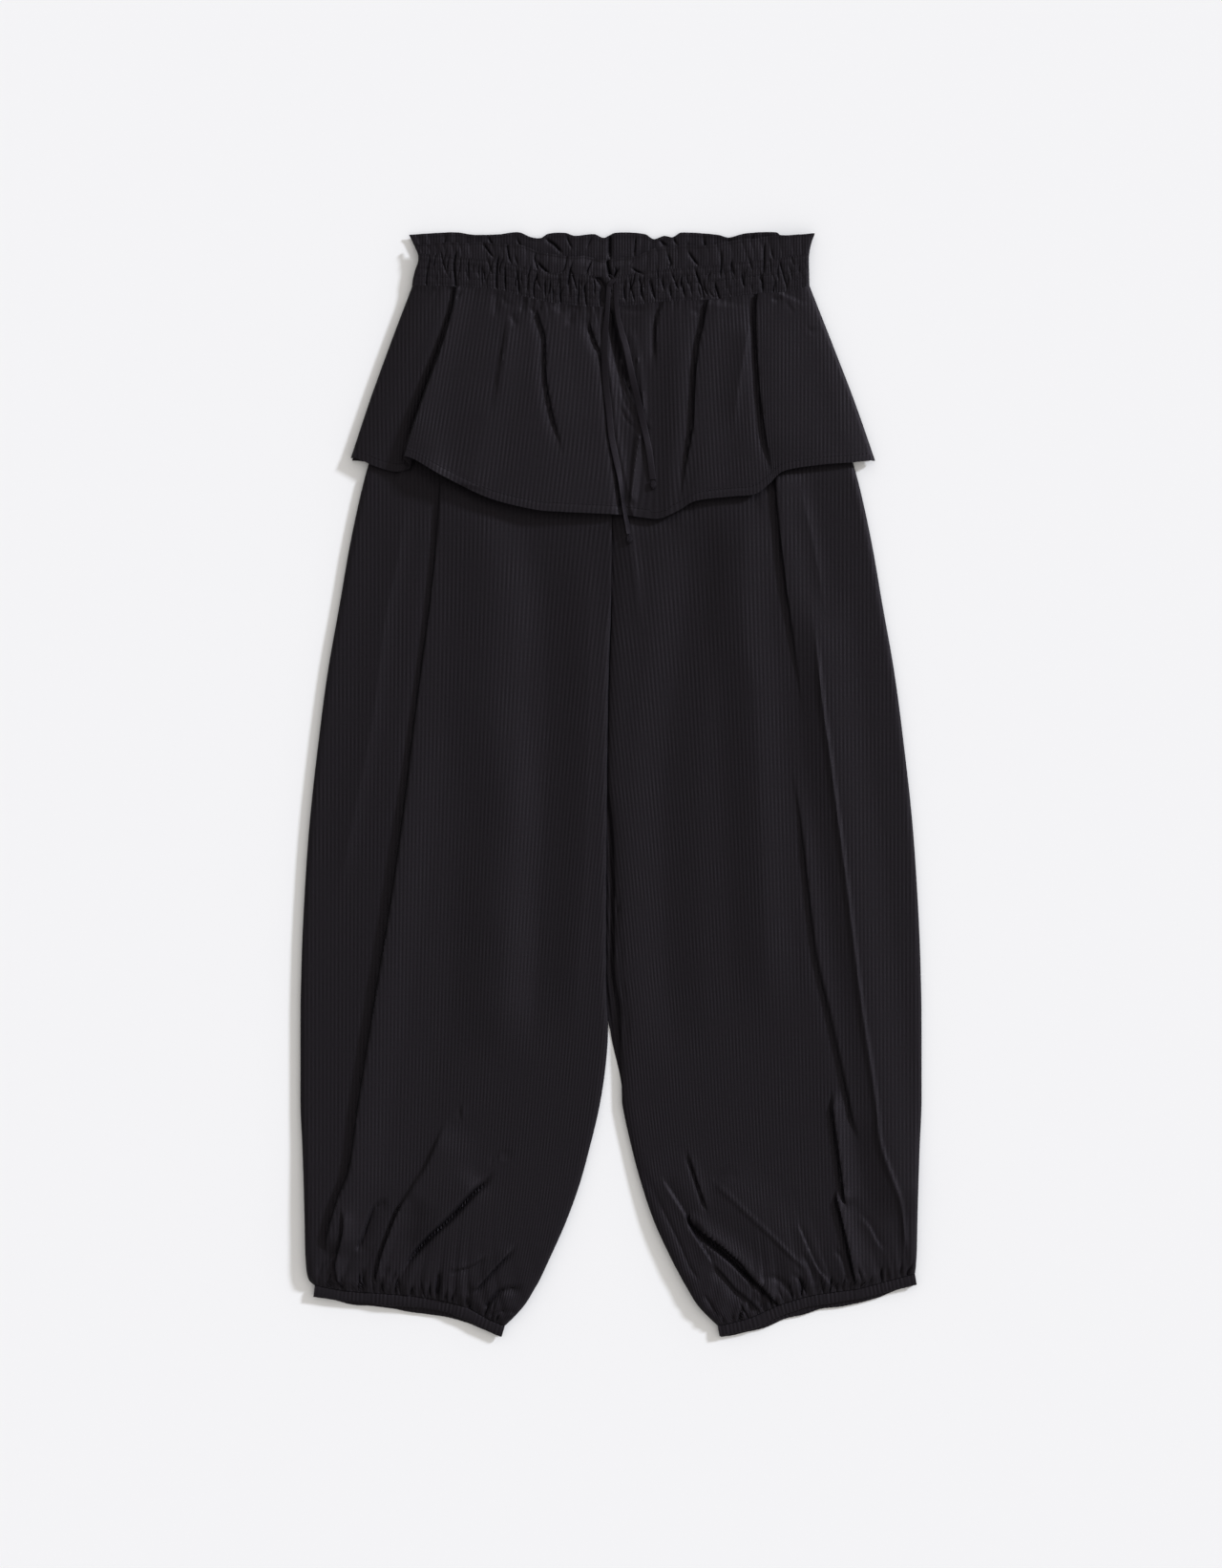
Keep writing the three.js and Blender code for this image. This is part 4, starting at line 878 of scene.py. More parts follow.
# %% Folds of the peplum, the long laps first
PEPLUM_FOLDS = [
    (0.5, 14, 0.0, 2, 6, 0, [(-137, 436), (-140.9, 418.6), (-150, 388), (-163.6, 350), (-178, 309),
                             (-187, 286)]),
    (-3.2, 13, 1.6, 20, 1, 40, [(-137, 440), (-141, 418.6), (-150, 388), (-163.6, 350), (-178, 309),
                                (-186, 288)]),
    (-2.8, 13, 1.6, 44, 6, 40, [(-66, 421), (-61, 405), (-58, 394), (-57.4, 362.5), (-54.3, 341),
                                (-49.8, 320), (-42, 290)]),
    (-3.4, 11, 1.4, 10, 14, 0, [(-21, 416), (-14, 394), (-7.3, 377.6), (-2.7, 353), (0, 329), (2, 310),
                                (6, 287), (11.4, 236)]),
    (-2.8, 10, 0.6, 14, 4, 24, [(47, 428), (41.7, 415.6), (40.2, 400), (39.8, 366)]),
    (-3.2, 16, 2.2, 40, 4, 70, [(86.5, 430), (82.7, 408), (77.4, 385), (74.4, 341), (72.9, 314),
                                (65.3, 276), (61, 244)]),
    (-3.0, 13, 2.2, 60, 2, 40, [(134.3, 444), (130.5, 435), (129, 420), (129, 400), (132, 352),
                                (136.6, 314), (143, 272)]),
    (-5.4, 14, -4.6, 3.0, 6, 50, [(0, 424), (1.0, 417), (4.6, 400), (8.6, 383.4), (13.4, 364.8),
                                  (18.6, 346), (24, 325)]),
    (1.6, 20, 1.6, 9, 20, 40, [(123.5, 412), (117.4, 377.6), (112, 344), (108, 305)]),
    (-0.6, 16, 1.8, 24, 30, 50, [(-91, 420), (-98, 372), (-106, 320)]),
    (1.9, 4, 1.6, 4, 10, 16, [(15.5, 406), (21.5, 387), (26, 365), (28.5, 340), (30, 318)]),
    (3.0, 6, 3.0, 8, 8, 4, [(27, 315), (25, 308), (21.3, 283), (17.5, 248)]),
    (1.2, 34, 1.2, 26, 40, 0, [(-104, 360), (-112, 320), (-124, 262)]),
    (-1.3, 4, -0.8, 5, 3, 4, [(-155, 440), (-170, 429)]),
    (-1.3, 4, -0.8, 4, 3, 3, [(-131, 439), (-137.5, 430)]),
    (-1.8, 6, -1.2, 6, 2, 10, [(-101.6, 436), (-102.1, 412)]),
    (-1.6, 5, -1.2, 5, 4, 4, [(-89, 418), (-84, 405)]),
    (-1.6, 5, -1.2, 5, 3, 4, [(-75.8, 431), (-80, 418)]),
    (-1.8, 6, -1.4, 6, 3, 5, [(-33, 424), (-37.5, 405)]),
    (-1.8, 5, -1.4, 5, 3, 5, [(-44.6, 430), (-44, 415)]),
    (-0.6, 6, 0.2, 5, 4, 4, [(155.5, 429), (164, 417.5)]),
    (-0.6, 6, 0.2, 5, 5, 5, [(174, 407), (187, 394)]),
    (-1.2, 3.5, -0.8, 4.5, 2, 2, [(-97, 433), (-92.3, 425.5), (-87, 427)]),
    (-1.6, 4, -1.0, 5, 2, 2, [(-72, 423), (-67.2, 418), (-62, 423)]),
    (-1.2, 3.5, -0.8, 4.5, 2, 2, [(-54, 428), (-49.6, 422.5), (-44.5, 428)]),
    (-1.2, 3.5, -0.8, 4.5, 2, 2, [(-32, 424), (-28.9, 420.4), (-25.6, 424.5)]),
    (-1.8, 3.5, -1.2, 4, 3, 3, [(11.5, 422), (19.6, 419.6), (30, 420.6)]),
    (-1.4, 4, -1.0, 4, 2, 2, [(71.5, 421.5), (79, 417)]),
    (-1.4, 3.5, -1.2, 4, 2, 2, [(143, 432), (147, 429), (152, 431.5)]),
    (-1.4, 4, 1.0, 5, 3, 5, [(20, 332), (30, 320), (37, 313)]),
    (-1.2, 4, 0.8, 5, 3, 5, [(9, 358), (12, 342), (20, 328)]),
    (-1.4, 4, 1.0, 5, 3, 5, [(10, 334), (15, 323), (23, 316)]),
]
print(len(PEPLUM_FOLDS), "folds in the peplum")

# %% [markdown]
# The cloth between the rails is a smooth curve across them and down them. Small pleats out of the
# seam fade downwards, and the hem is a little thicker, with a groove where it is stitched. Under
# the two hanging tapes the cloth is held down below their middle line. Where a tape is twisted, its
# edge still dips into the cloth a little.

# %% Front of the peplum
PEPLUM_TOP = 7.9           # height of the cloth's face before its folds and gathers
HEM_WIDTH = 7.0
HEM_STEP, HEM_GROOVE = 0.35, 0.3
SEAM_GATHERS = {"spacing": 8.0, "skew": 2.0, "reach": 9.0, "height": 1.3}
LOW_GATHERS = {"spacing": 21.0, "skew": 1.0, "reach": 45.0, "height": 0.9}
GATHERS_AT_SIDES = 0.35    # share of them left at the sides, where the cloth is nearly smooth
SEAM_SWELL, SWELL_REACH = 0.8, 6.0
TUCK_LIFT = 2.6            # the hem stands higher beside the tuck on the wearer's right
UNDER_TAPE = 0.65          # from the middle of a tape down to the cloth
UNDER_EDGE = 3.0           # height of the cloth's edge where it turns under
PEPLUM_GRAIN = table("seam lean", [(-177, 0.03), (-139, 0.02), (-134, 0.16), (-95, 0.13), (-60, 0.09),
                                   (0, 0.02), (60, -0.03), (130, -0.06), (140, 0.0), (177, -0.02)])


def curve_at(stations, values, place):
    """A smooth curve through values at their stations, read at one or more places."""
    return along({"station": stations, "value": np.array(values)}, "station", "value", place)


def rail_surface(down, place):
    """x, rise and hem y at each share of the length (rows) and place among the rails (columns)."""
    levels = np.array([0, 1 / 3, 2 / 3, 1.0])
    rail_x = np.stack([RAILS[level] for level in ("seam", "high", "low", "hem")])
    rail_rise = np.stack([RAILS[level] for level in ("rise0", "rise1", "rise2", "rise3")])
    numbers = np.arange(RAIL_COUNT, dtype=float)
    x = np.zeros((len(down), len(place)))
    rise = np.zeros_like(x)
    for i, share in enumerate(down):
        at_x = [curve_at(levels, rail_x[:, k], share) for k in range(RAIL_COUNT)]
        at_rise = [curve_at(levels, rail_rise[:, k], share) for k in range(RAIL_COUNT)]
        x[i] = curve_at(numbers, at_x, place)
        rise[i] = curve_at(numbers, at_rise, place)
    edge = curve_at(numbers, RAILS["edge"], place)
    return x, rise, edge[None, :] + 0 * x


def front_peplum(rows=96, between=15):
    """The sheet between the rails, and the line of its hem stitching."""
    down = np.linspace(0, 1, rows)
    place = np.linspace(1, RAIL_COUNT - 2, (RAIL_COUNT - 3) * between + 1)
    turn = np.linspace(UNDER_TURN, math.pi / 2, ROLL_COLUMNS + 1)[:-1]
    inset = EDGE_ROLL * np.concatenate([1 - np.cos(turn), 0 * place, -(1 - np.cos(turn))[::-1]])
    up = np.concatenate([np.sin(turn), 0 * place + 1, np.sin(turn)[::-1]])
    place = np.concatenate([0 * turn, place, 0 * turn + RAIL_COUNT - 1])
    x, rise, edge = rail_surface(down, place)
    x = x + inset
    seam_x = x[0][None, :] + 0 * x
    share = down[:, None] + 0 * x
    top = along(FRONT_BAND, "x", "bottom", seam_x)
    y = mix(top, edge, share)
    fallen = (top - edge) * share
    from_hem = (top - edge) * (1 - share)
    fold, lean = fold_lines(PEPLUM_FOLDS, x, y)
    centre = GATHERS_AT_SIDES + (1 - GATHERS_AT_SIDES) * np.exp(-((seam_x / 90) ** 2))
    gathered = gathers(seam_x + 0.05 * fallen * np.sin(seam_x / 23), fallen, SEAM_GATHERS, 91)
    gathered = gathered + gathers(seam_x + 3 * np.sin(fallen / 40), fallen, LOW_GATHERS, 97)
    hem = HEM_STEP * smooth(HEM_WIDTH + 0.6, HEM_WIDTH - 0.4, from_hem)
    groove = HEM_GROOVE * np.exp(-(((from_hem - HEM_WIDTH) / 0.8) ** 2))
    level = PEPLUM_TOP + rise + fold + gathered * centre + hem - groove
    level += SEAM_SWELL * np.exp(-fallen / SWELL_REACH)
    level += TUCK_LIFT * np.exp(-(((x + 156) / 13) ** 2)) * np.exp(-from_hem / 16)
    level += 0.3 * wander(seam_x, 31, 101) * wander(fallen, 60, 103)
    for route in (ROUTE_RIGHT, ROUTE_LEFT):
        away, run, _ = beside([point[:2] for point in route], x, y)
        curve = bend(route, 5)
        steps = np.concatenate([[0], np.cumsum(np.hypot(*np.diff(curve[:, :2], axis=0).T))])
        under_tape = np.interp(run, steps, curve[:, 2]) - UNDER_TAPE
        level = np.minimum(level, under_tape + 0.1 * np.maximum(np.abs(away) - 2.5, 0) ** 2)
    middle = 0.5 * level
    under = mix(middle, UNDER_EDGE, -up / abs(math.sin(UNDER_TURN)))
    z = np.where(up > 0, mix(middle, level, up), under)
    grain = 1.06 * x - along(PEPLUM_GRAIN, "seam", "lean", seam_x) * (y - BACK_BAND_BOTTOM)
    x = x + lean * up.clip(0, 1)
    piece = sheet("front_peplum_cloth", x, y, z, grain, y, replaces=["front_peplum"])
    at = np.argmin(np.abs(from_hem - HEM_WIDTH), axis=0)
    shown = np.flatnonzero(up > 0.9)
    columns = np.arange(len(place))
    return piece, [a[at, columns][shown] for a in (x, y, z)]


peplum, hem_line = front_peplum()

# %% [markdown]
# The topstitch of the hem is one thread that runs over the cloth for a stitch and dips under it
# between two, so it is a thin tube along the hem line with its height going up and down.

# %% Topstitch of the peplum hem
STITCH = 3.2
THREAD = 0.45


def thread(name, x, y, z, spacing=STITCH, width=THREAD):
    """A stitched thread along a line over the cloth."""
    run = np.concatenate([[0], np.cumsum(np.sqrt(np.diff(x) ** 2 + np.diff(y) ** 2 + np.diff(z) ** 2))])
    even = np.linspace(0, run[-1], int(run[-1] / spacing * 7))
    x, y, z = (np.interp(even, run, a) for a in (x, y, z))
    beat = (even / spacing) % 1.0
    over = smooth(0.0, 0.18, beat) * smooth(1.0, 0.82, beat)
    centre = np.stack([x, y, z - 0.35 + 0.5 * over], -1)
    step = np.gradient(centre[:, :2], axis=0)
    step /= np.linalg.norm(step, axis=1)[:, None]
    turn = np.linspace(0, 2 * math.pi, 7)[:, None]
    px = centre[:, 0] - step[:, 1] * np.cos(turn) * width / 2
    py = centre[:, 1] + step[:, 0] * np.cos(turn) * width / 2
    pz = centre[:, 2] + np.sin(turn) * width / 2
    return tube(name, px, py, pz, even, turn[:, 0] * width / 2)


hem_stitches = thread("peplum_hem_stitches", *hem_line)

# %% [markdown]
# The back of the peplum lies flat on the table, a little inside the outline of the front. Its hem is
# the one that lifts the backs of the legs.

# %% Back of the peplum
PEPLUM_SIDE = table("y x", [(443, 177), (391, 195.5), (340, 214.5), (287, 232)])


def back_peplum(columns=120, rows=46):
    """The back frill, a flat trapezium with a curved hem."""
    u = np.linspace(-1, 1, columns)[None, :] * np.ones((rows, 1))
    down = np.linspace(0, 1, rows)[:, None] * np.ones((1, columns))
    hem = back_hem_at(u * PEPLUM_BACK_HEM["ends_at"])
    y = mix(BACK_BAND_BOTTOM - 0.3, hem, down)
    x = u * (along(PEPLUM_SIDE, "y", "x", y) - 1.5)
    return sheet("back_peplum_cloth", x, y, BACK_TOP + 0.0 * x, x, y, replaces=["back_peplum"])


back_peplum_piece = back_peplum()

# %% [markdown]
# ## Waistband
# The front waistband is a casing over a wide elastic, which pulls the cloth into uneven upright
# pleats. Its sharp creases are listed one by one, each with a depth, a half width and the places that
# its line goes through. Small chance creases fill the cloth between them. They are deeper in the
# middle than at the sides, and start somewhere in the lower half of the casing.

# %% Creases of the front waistband
WAIST_CREASES = [
    (1.6, 4, [(-165.2, 469), (-164.6, 454), (-164, 439)]),
    (1.4, 4, [(-154, 473), (-149.6, 462), (-145.5, 451)]),
    (2.8, 5, [(-136.9, 473), (-139, 460), (-137.7, 442), (-138.6, 435)]),
    (1.8, 4, [(-126.6, 466), (-126.3, 446)]), (2.4, 4, [(-114, 481), (-104, 466)]),
    (1.8, 4, [(-114.8, 460), (-114, 440)]), (1.5, 4, [(-110, 467), (-105, 451)]),
    (2.8, 5, [(-99.5, 469), (-101.2, 455), (-101.6, 437)]),
    (2.4, 4, [(-92, 481), (-91, 471), (-88.2, 460)]), (2.0, 4, [(-94.1, 461), (-93.5, 436)]),
    (2.0, 4, [(-85.5, 470), (-82.7, 459)]), (2.4, 4, [(-83.7, 457), (-81.6, 442), (-81.6, 434)]),
    (1.9, 3.5, [(-73, 451), (-74.2, 435)]), (2.0, 3.5, [(-64, 452), (-68, 443.7), (-68.5, 430)]),
    (2.2, 4, [(-66.5, 473), (-67.3, 465), (-64, 454)]),
    (3.4, 5, [(-66, 464), (-60, 457.5), (-54, 452)]), (2.0, 3.5, [(-58.6, 449), (-58, 430)]),
    (1.6, 3, [(-52.7, 442), (-50, 434)]), (1.8, 3.5, [(-45.5, 451), (-44.9, 435), (-44.2, 424)]),
    (1.6, 4, [(-38.3, 472), (-41, 457), (-46, 451)]),
    (1.6, 3.5, [(-33.7, 465), (-36, 452), (-36.5, 432)]), (2.4, 4, [(-16.5, 465.5), (-22.6, 450)]),
    (1.8, 3.5, [(-28.7, 450), (-28.6, 436), (-29.9, 424)]), (2.6, 4, [(-23.2, 445), (-21.8, 423)]),
    (1.8, 3.5, [(-9.6, 441), (-9.4, 422)]), (6.5, 6, [(-0.4, 474), (-2.4, 463), (0.7, 447)]),
    (7.5, 8, [(-15, 449), (-9.5, 446.5), (-6, 440.5), (-5.6, 426)]),
    (3, 4, [(3, 459), (5, 454), (1.2, 447)]), (2.8, 4, [(8, 458.5), (2.4, 448)]),
    (1.8, 4, [(20.6, 466), (16.5, 460)]), (2.8, 4, [(17.5, 458), (29.8, 451.4)]),
    (2.4, 4, [(11.5, 445), (12.8, 427)]), (1.8, 3.5, [(16, 449), (21.5, 426.5)]),
    (2.2, 4, [(25, 451), (29.5, 426.5)]), (2.7, 4, [(35, 449), (39.5, 429)]),
    (2.2, 4, [(46, 451), (47.3, 436)]), (1.9, 3.5, [(52, 445), (54.3, 429)]),
    (1.7, 3.5, [(53.3, 455), (60, 438)]), (2.4, 4, [(62.7, 446), (66.2, 431)]),
    (2.6, 4, [(50.3, 471), (53.6, 461), (49.7, 458)]), (3.0, 5, [(68.2, 473), (78.2, 459)]),
    (2.8, 4, [(74.5, 457), (81.6, 438.6), (82.3, 429)]), (2.8, 4, [(92, 446), (98, 426.5)]),
    (1.6, 3.5, [(86.5, 438), (91, 432.5), (93.5, 433)]),
    (2.2, 4, [(97.6, 474), (98.4, 463), (97.2, 448)]), (1.6, 4, [(107, 464), (109.9, 449)]),
    (2.4, 4, [(115.7, 455), (118.7, 440)]), (1.5, 4, [(122, 469), (126, 454)]),
    (2.4, 4, [(136.6, 480), (136, 452)]), (3.0, 5, [(133.3, 453), (135.2, 442), (134.2, 436)]),
    (1.6, 4, [(142, 476), (144.6, 464)]), (1.8, 4, [(149.4, 466), (154.7, 447), (157.2, 439)]),
    (1.5, 4, [(160.6, 469), (163.3, 459)]), (2.0, 3.5, [(146, 446), (143.8, 434)]),
]
PLACED_BY_HAND = len(WAIST_CREASES)
SMALL_CREASE_STEP = 5.2
SMALL_CREASE_HALF_WIDTH = 3.2


def fuller(x):
    """How full the gathers are at x: 1 in the middle, a little more than half at the sides."""
    return 0.55 + 0.45 * np.exp(-((x / 110) ** 2))


chance = np.random.RandomState(301)
for middle in np.arange(-166, 168, SMALL_CREASE_STEP):
    middle = middle + chance.uniform(-2.4, 2.4)
    start = along(FRONT_BAND, "x", "bottom", middle) + chance.uniform(0.5, 15)
    length, slant, bow = chance.uniform(9, 21), chance.uniform(-0.3, 0.3), chance.uniform(-1.6, 1.6)
    depth = chance.uniform(1.0, 2.4) * fuller(middle)
    line = [(middle + slant * length / 2, start + length), (middle + bow, start + length / 2),
            (middle - slant * length / 2, start)]
    WAIST_CREASES.append((depth, SMALL_CREASE_HALF_WIDTH, line))
print(PLACED_BY_HAND, "creases placed by hand,", len(WAIST_CREASES), "with the small ones")

# %% [markdown]
# Rows of stitching hold cloth and elastic together and show as faint level grooves. The ends of the
# band follow the side of the waist and turn round to the back there.

# %% Front waistband
BAND_HALF_WIDTH = 177
BAND_FOOT, BAND_CREST = 7.5, 9.8           # height of the cloth's face at the lower and upper edge
BAND_LOWEST, BAND_HIGHEST = 6.0, 11.5
STITCH_ROWS = (0.08, 0.31, 0.54, 0.77, 0.93)
ROW_GROOVE = 0.2
END_TURN = 3.0                             # a band turns round to the back over this width
WAIST_EDGE = table("y left right", [
    (423, 177, 177), (444, 176.8, 176.5), (455, 174.5, 176.2), (464, 171.5, 176), (470, 171.8, 176.2),
    (481, 176.5, 178.5), (490, 181, 182)])


def waist_grid(columns, rows, half_width):
    """x, and the share of the way up, for a band or heading of this half width."""
    share = np.linspace(0, 1, rows)[:, None] * np.ones((1, columns))
    x = np.linspace(-half_width, half_width, columns)[None, :] * np.ones((rows, 1))
    return x, share


def side_turn(x, half_width, depth):
    """How far a band drops at its ends, where it turns round to the back."""
    inward = np.clip((half_width - np.abs(x)) / END_TURN, 0, 1)
    return depth * (np.sqrt(1 - (1 - inward) ** 2) - 1)


def drawn_in(x, y, half_width):
    """x with the ends of a band or heading moved onto the outline of the waist."""
    edge = np.where(x < 0, along(WAIST_EDGE, "y", "left", y), along(WAIST_EDGE, "y", "right", y))
    return x - np.sign(x) * (half_width - edge) * smooth(140, half_width, np.abs(x))


def front_waistband():
    """The casing over the elastic, with its points for the stitching."""
    x, share = waist_grid(720, 38, BAND_HALF_WIDTH)
    y = mix(along(FRONT_BAND, "x", "bottom", x), along(FRONT_BAND, "x", "top", x), share)
    centre = fuller(x)
    soft = pleats(x + 2.2 * wander(y, 14, 7), 7.6, 201) * centre
    fine = pleats(x + 1.2 * wander(y, 7, 9), 4.2, 207) * centre
    rows_in = sum(np.exp(-(((share - row) / 0.025) ** 2)) for row in STITCH_ROWS)
    sink, lip = creased(WAIST_CREASES, x, y)
    z = mix(BAND_FOOT, BAND_CREST, share) + 0.45 * soft + 0.15 * fine - sink - ROW_GROOVE * rows_in
    z = z + 0.2 * wander(x, 3.1, 211) * wander(y, 4.0, 213) * centre
    z = np.clip(z, BAND_LOWEST, BAND_HIGHEST) + side_turn(x, BAND_HALF_WIDTH, 3.4)
    y = y - 1.2 * pleats(x, 5.3, 215) * centre * smooth(0.25, 0.0, share)
    x = drawn_in(x + lip, y, BAND_HALF_WIDTH)
    piece = sheet("front_waistband_cloth", x, y, z, x * 1.5, y, replaces=["front_waistband"])
    return piece, x, y, z


waistband, band_x, band_y, band_z = front_waistband()

# %% [markdown]
# Over the casing stands a ruffle, the heading. Its pleats run on from the casing, open out and fall
# over in places. The back has a heading too, which shows above the front one, and a plain waistband
# that lies hidden on the table.

# %% Headings, and the back of the waistband
BACK_CREASES = [
    (3.2, 5, [(-59, 485), (-50, 479), (-43, 471)]), (2.0, 4, [(-40, 488), (-34, 474)]),
    (1.6, 4, [(-16, 487), (-22, 475)]), (5, 6, [(-0.6, 488), (-0.6, 466)]),
    (2.0, 4, [(22.4, 487), (20.6, 466)]), (3.0, 5, [(42.5, 483.5), (50.5, 477)]),
    (2.0, 4, [(54.8, 487), (59.6, 477)]), (1.6, 4, [(68, 482), (68.6, 475)]),
    (2.2, 4, [(82.7, 487), (84.4, 470)]), (1.8, 4, [(-110, 487), (-104, 476)]),
    (1.8, 4, [(-84, 486), (-80, 476)]), (1.6, 4, [(106, 485), (104, 474)]),
    (1.6, 4, [(127, 488), (124, 478)]), (1.4, 4, [(-146, 488), (-150, 476)]),
]
BACK_EDGE = table("x y", [
    (-181, 487.5), (-156, 489.2), (-137, 489.8), (-122, 487.6), (-100, 488), (-82.3, 489.8), (-71, 485.4),
    (-62.3, 484.8), (-56, 488.5), (-41, 489.2), (-32.4, 486.6), (-15, 488), (-6.2, 484.8), (3.7, 489.2),
    (29.9, 488.2), (38, 483.8), (47.3, 486.6), (54.8, 485.4), (62.3, 489.5), (94.8, 487.6), (104.7, 485.2),
    (119.7, 488.8), (147, 489.8), (151, 487.3), (181, 487.6)])
HEADING_HALF_WIDTH = 180.5
BACK_HEADING_HALF_WIDTH = 181
BACK_BAND_HALF_WIDTH = 176.5
HEADING_FACE = 8.9                         # height of the cloth's face before its pleats
HEADING_LOWEST, HEADING_HIGHEST = 4.4, 12.5
BACK_HEADING_FACE, BACK_HEADING_HIGHEST = 3.0, 5.4
BACK_BAND_FACE = 1.5
CENTRE_X = -8                              # the waist is drawn in most here


def near_centre(x, width):
    """1 where the waist is drawn in most, falling to 0 over this width."""
    return np.exp(-(((x - CENTRE_X) / width) ** 2))


def front_heading():
    """The ruffle over the front waistband."""
    x, share = waist_grid(660, 34, HEADING_HALF_WIDTH)
    ripple = 0.9 * wander(x, 13, 231) + 1.6 * wander(x, 8, 233) * np.exp(-(((x + 10) / 45) ** 2))
    crest = along(FRONT_BAND, "x", "heading", x) + ripple
    y = mix(along(FRONT_BAND, "x", "top", x) - 0.6, crest, share)
    soft = pleats(x + 3.0 * wander(y, 18, 221), 9.5, 223)
    fine = pleats(x + 1.4 * wander(y, 7, 225), 4.6, 227)
    flop = wander(x, 17, 229) * share
    sink, lip = creased(WAIST_CREASES, x, y)
    z = HEADING_FACE + mix(0.45, 0.7, share) * soft + 0.15 * fine * (1 - share) - sink
    z = z + 1.2 * flop + 0.3 * smooth(0.86, 0.93, share)
    z = z - 1.5 * smooth(0.45, 1.0, share) * near_centre(x, 40)
    z = z + 0.6 * np.exp(-(((x + 53.6) / 9) ** 2) - ((y - 462) / 7) ** 2)
    z = np.clip(z, HEADING_LOWEST, HEADING_HIGHEST) + side_turn(x, HEADING_HALF_WIDTH, 3.0)
    x = drawn_in(x + lip, y, HEADING_HALF_WIDTH)
    return sheet("front_heading_cloth", x, y, z, x * 1.4, y, replaces=["front_heading"])


def back_heading():
    """The ruffle over the back waistband, face down."""
    x, share = waist_grid(520, 30, BACK_HEADING_HALF_WIDTH)
    y = mix(BACK_BAND_TOP - 9 * near_centre(x, 50), along(BACK_EDGE, "x", "y", x), share)
    sink, lip = creased(BACK_CREASES, x, y)
    soft = pleats(x + 3.0 * wander(y, 18, 241), 11.0, 243, skew=1.8)
    flop = wander(x, 19, 245) * share
    z = BACK_HEADING_FACE + 0.8 * soft * mix(0.5, 1.0, share) - sink + 0.6 * flop
    z = z + 1.2 * near_centre(x, 42)
    z = np.clip(z, CLOTH_THICKNESS + 0.05, BACK_HEADING_HIGHEST) + 0.25 * smooth(0.8, 0.9, share)
    x = drawn_in(x + lip, y, BACK_HEADING_HALF_WIDTH)
    return sheet("back_heading_cloth", x, y, z, x * 1.4, y, replaces=["back_heading"])


def back_waistband():
    """The back of the casing, with plain pleats."""
    x, share = waist_grid(300, 20, BACK_BAND_HALF_WIDTH)
    y = mix(BACK_BAND_BOTTOM + 0.5, BACK_BAND_TOP, share)
    z = BACK_BAND_FACE + 1.2 * pleats(x, 6.5, 251)
    x = drawn_in(x, y, BACK_BAND_HALF_WIDTH)
    return sheet("back_waistband_cloth", x, y, z, x * 1.5, y, replaces=["back_waistband"])


heading = front_heading()
heading_behind = back_heading()
waistband_behind = back_waistband()

# %% [markdown]
# Three of the stitched rows are given their thread, which runs over the pleats of the casing.

# %% Rows of stitching on the front waistband
ROW_STITCH, ROW_THREAD = 4.4, 0.4
for number, row in enumerate(STITCH_ROWS[1:4], 1):
    at = round(row * (band_x.shape[0] - 1))
    line = [a[at, 6:-6] for a in (band_x, band_y, band_z)]
    thread(f"waistband_stitches_{number}", *line, ROW_STITCH, ROW_THREAD)

# %% [markdown]
# ## How the gathered pieces are cut
# The gathered pieces are cut longer than they lie: the waist is cut to nearly the width of the hips and
# drawn in by its elastic, and the peplum is part of a ring, which is why it falls in flutes. The
# loop below only takes up the front and back sheet of each leg.

for side in ("right", "left"):
    leg, back = front_legs[side], back_legs[side][0]

# %% [markdown]
# ## The cloth's finish
# The cloth is a thin black weave of nylon and polyester with a fine rib along its length every
# 3.5 mm. Its colour is nearly black, so most of what one sees is the sheen on the ribs and folds.
# A node group draws the rib and the weave from the panel's own UV map, so the rib runs and leans
# with the cloth. It gives a height for the bump and a mask that shifts the colour and roughness.

# %% Rib weave group
RIB_SPACING = 3.5 * MM
WEAVE_SPACING = 0.55 * MM


def new_group(name, inputs, outputs):
    """A node group with its inputs and outputs."""
    group = bpy.data.node_groups.new(name, "ShaderNodeTree")
    for label, kind, value in inputs:
        socket = group.interface.new_socket(name=label, in_out="INPUT", socket_type=kind)
        if value is not None:
            socket.default_value = value
    for label, kind in outputs:
        group.interface.new_socket(name=label, in_out="OUTPUT", socket_type=kind)
    return group, group.nodes.new("NodeGroupInput"), group.nodes.new("NodeGroupOutput")


def math_node(tree, operation, *values):
    """One step of arithmetic on numbers or on the outputs of other nodes."""
    node = tree.nodes.new("ShaderNodeMath")
    node.operation = operation
    for socket, value in zip(node.inputs, values):
        if isinstance(value, (int, float)):
            socket.default_value = value
        else:
            tree.links.new(value, socket)
    return node.outputs[0]


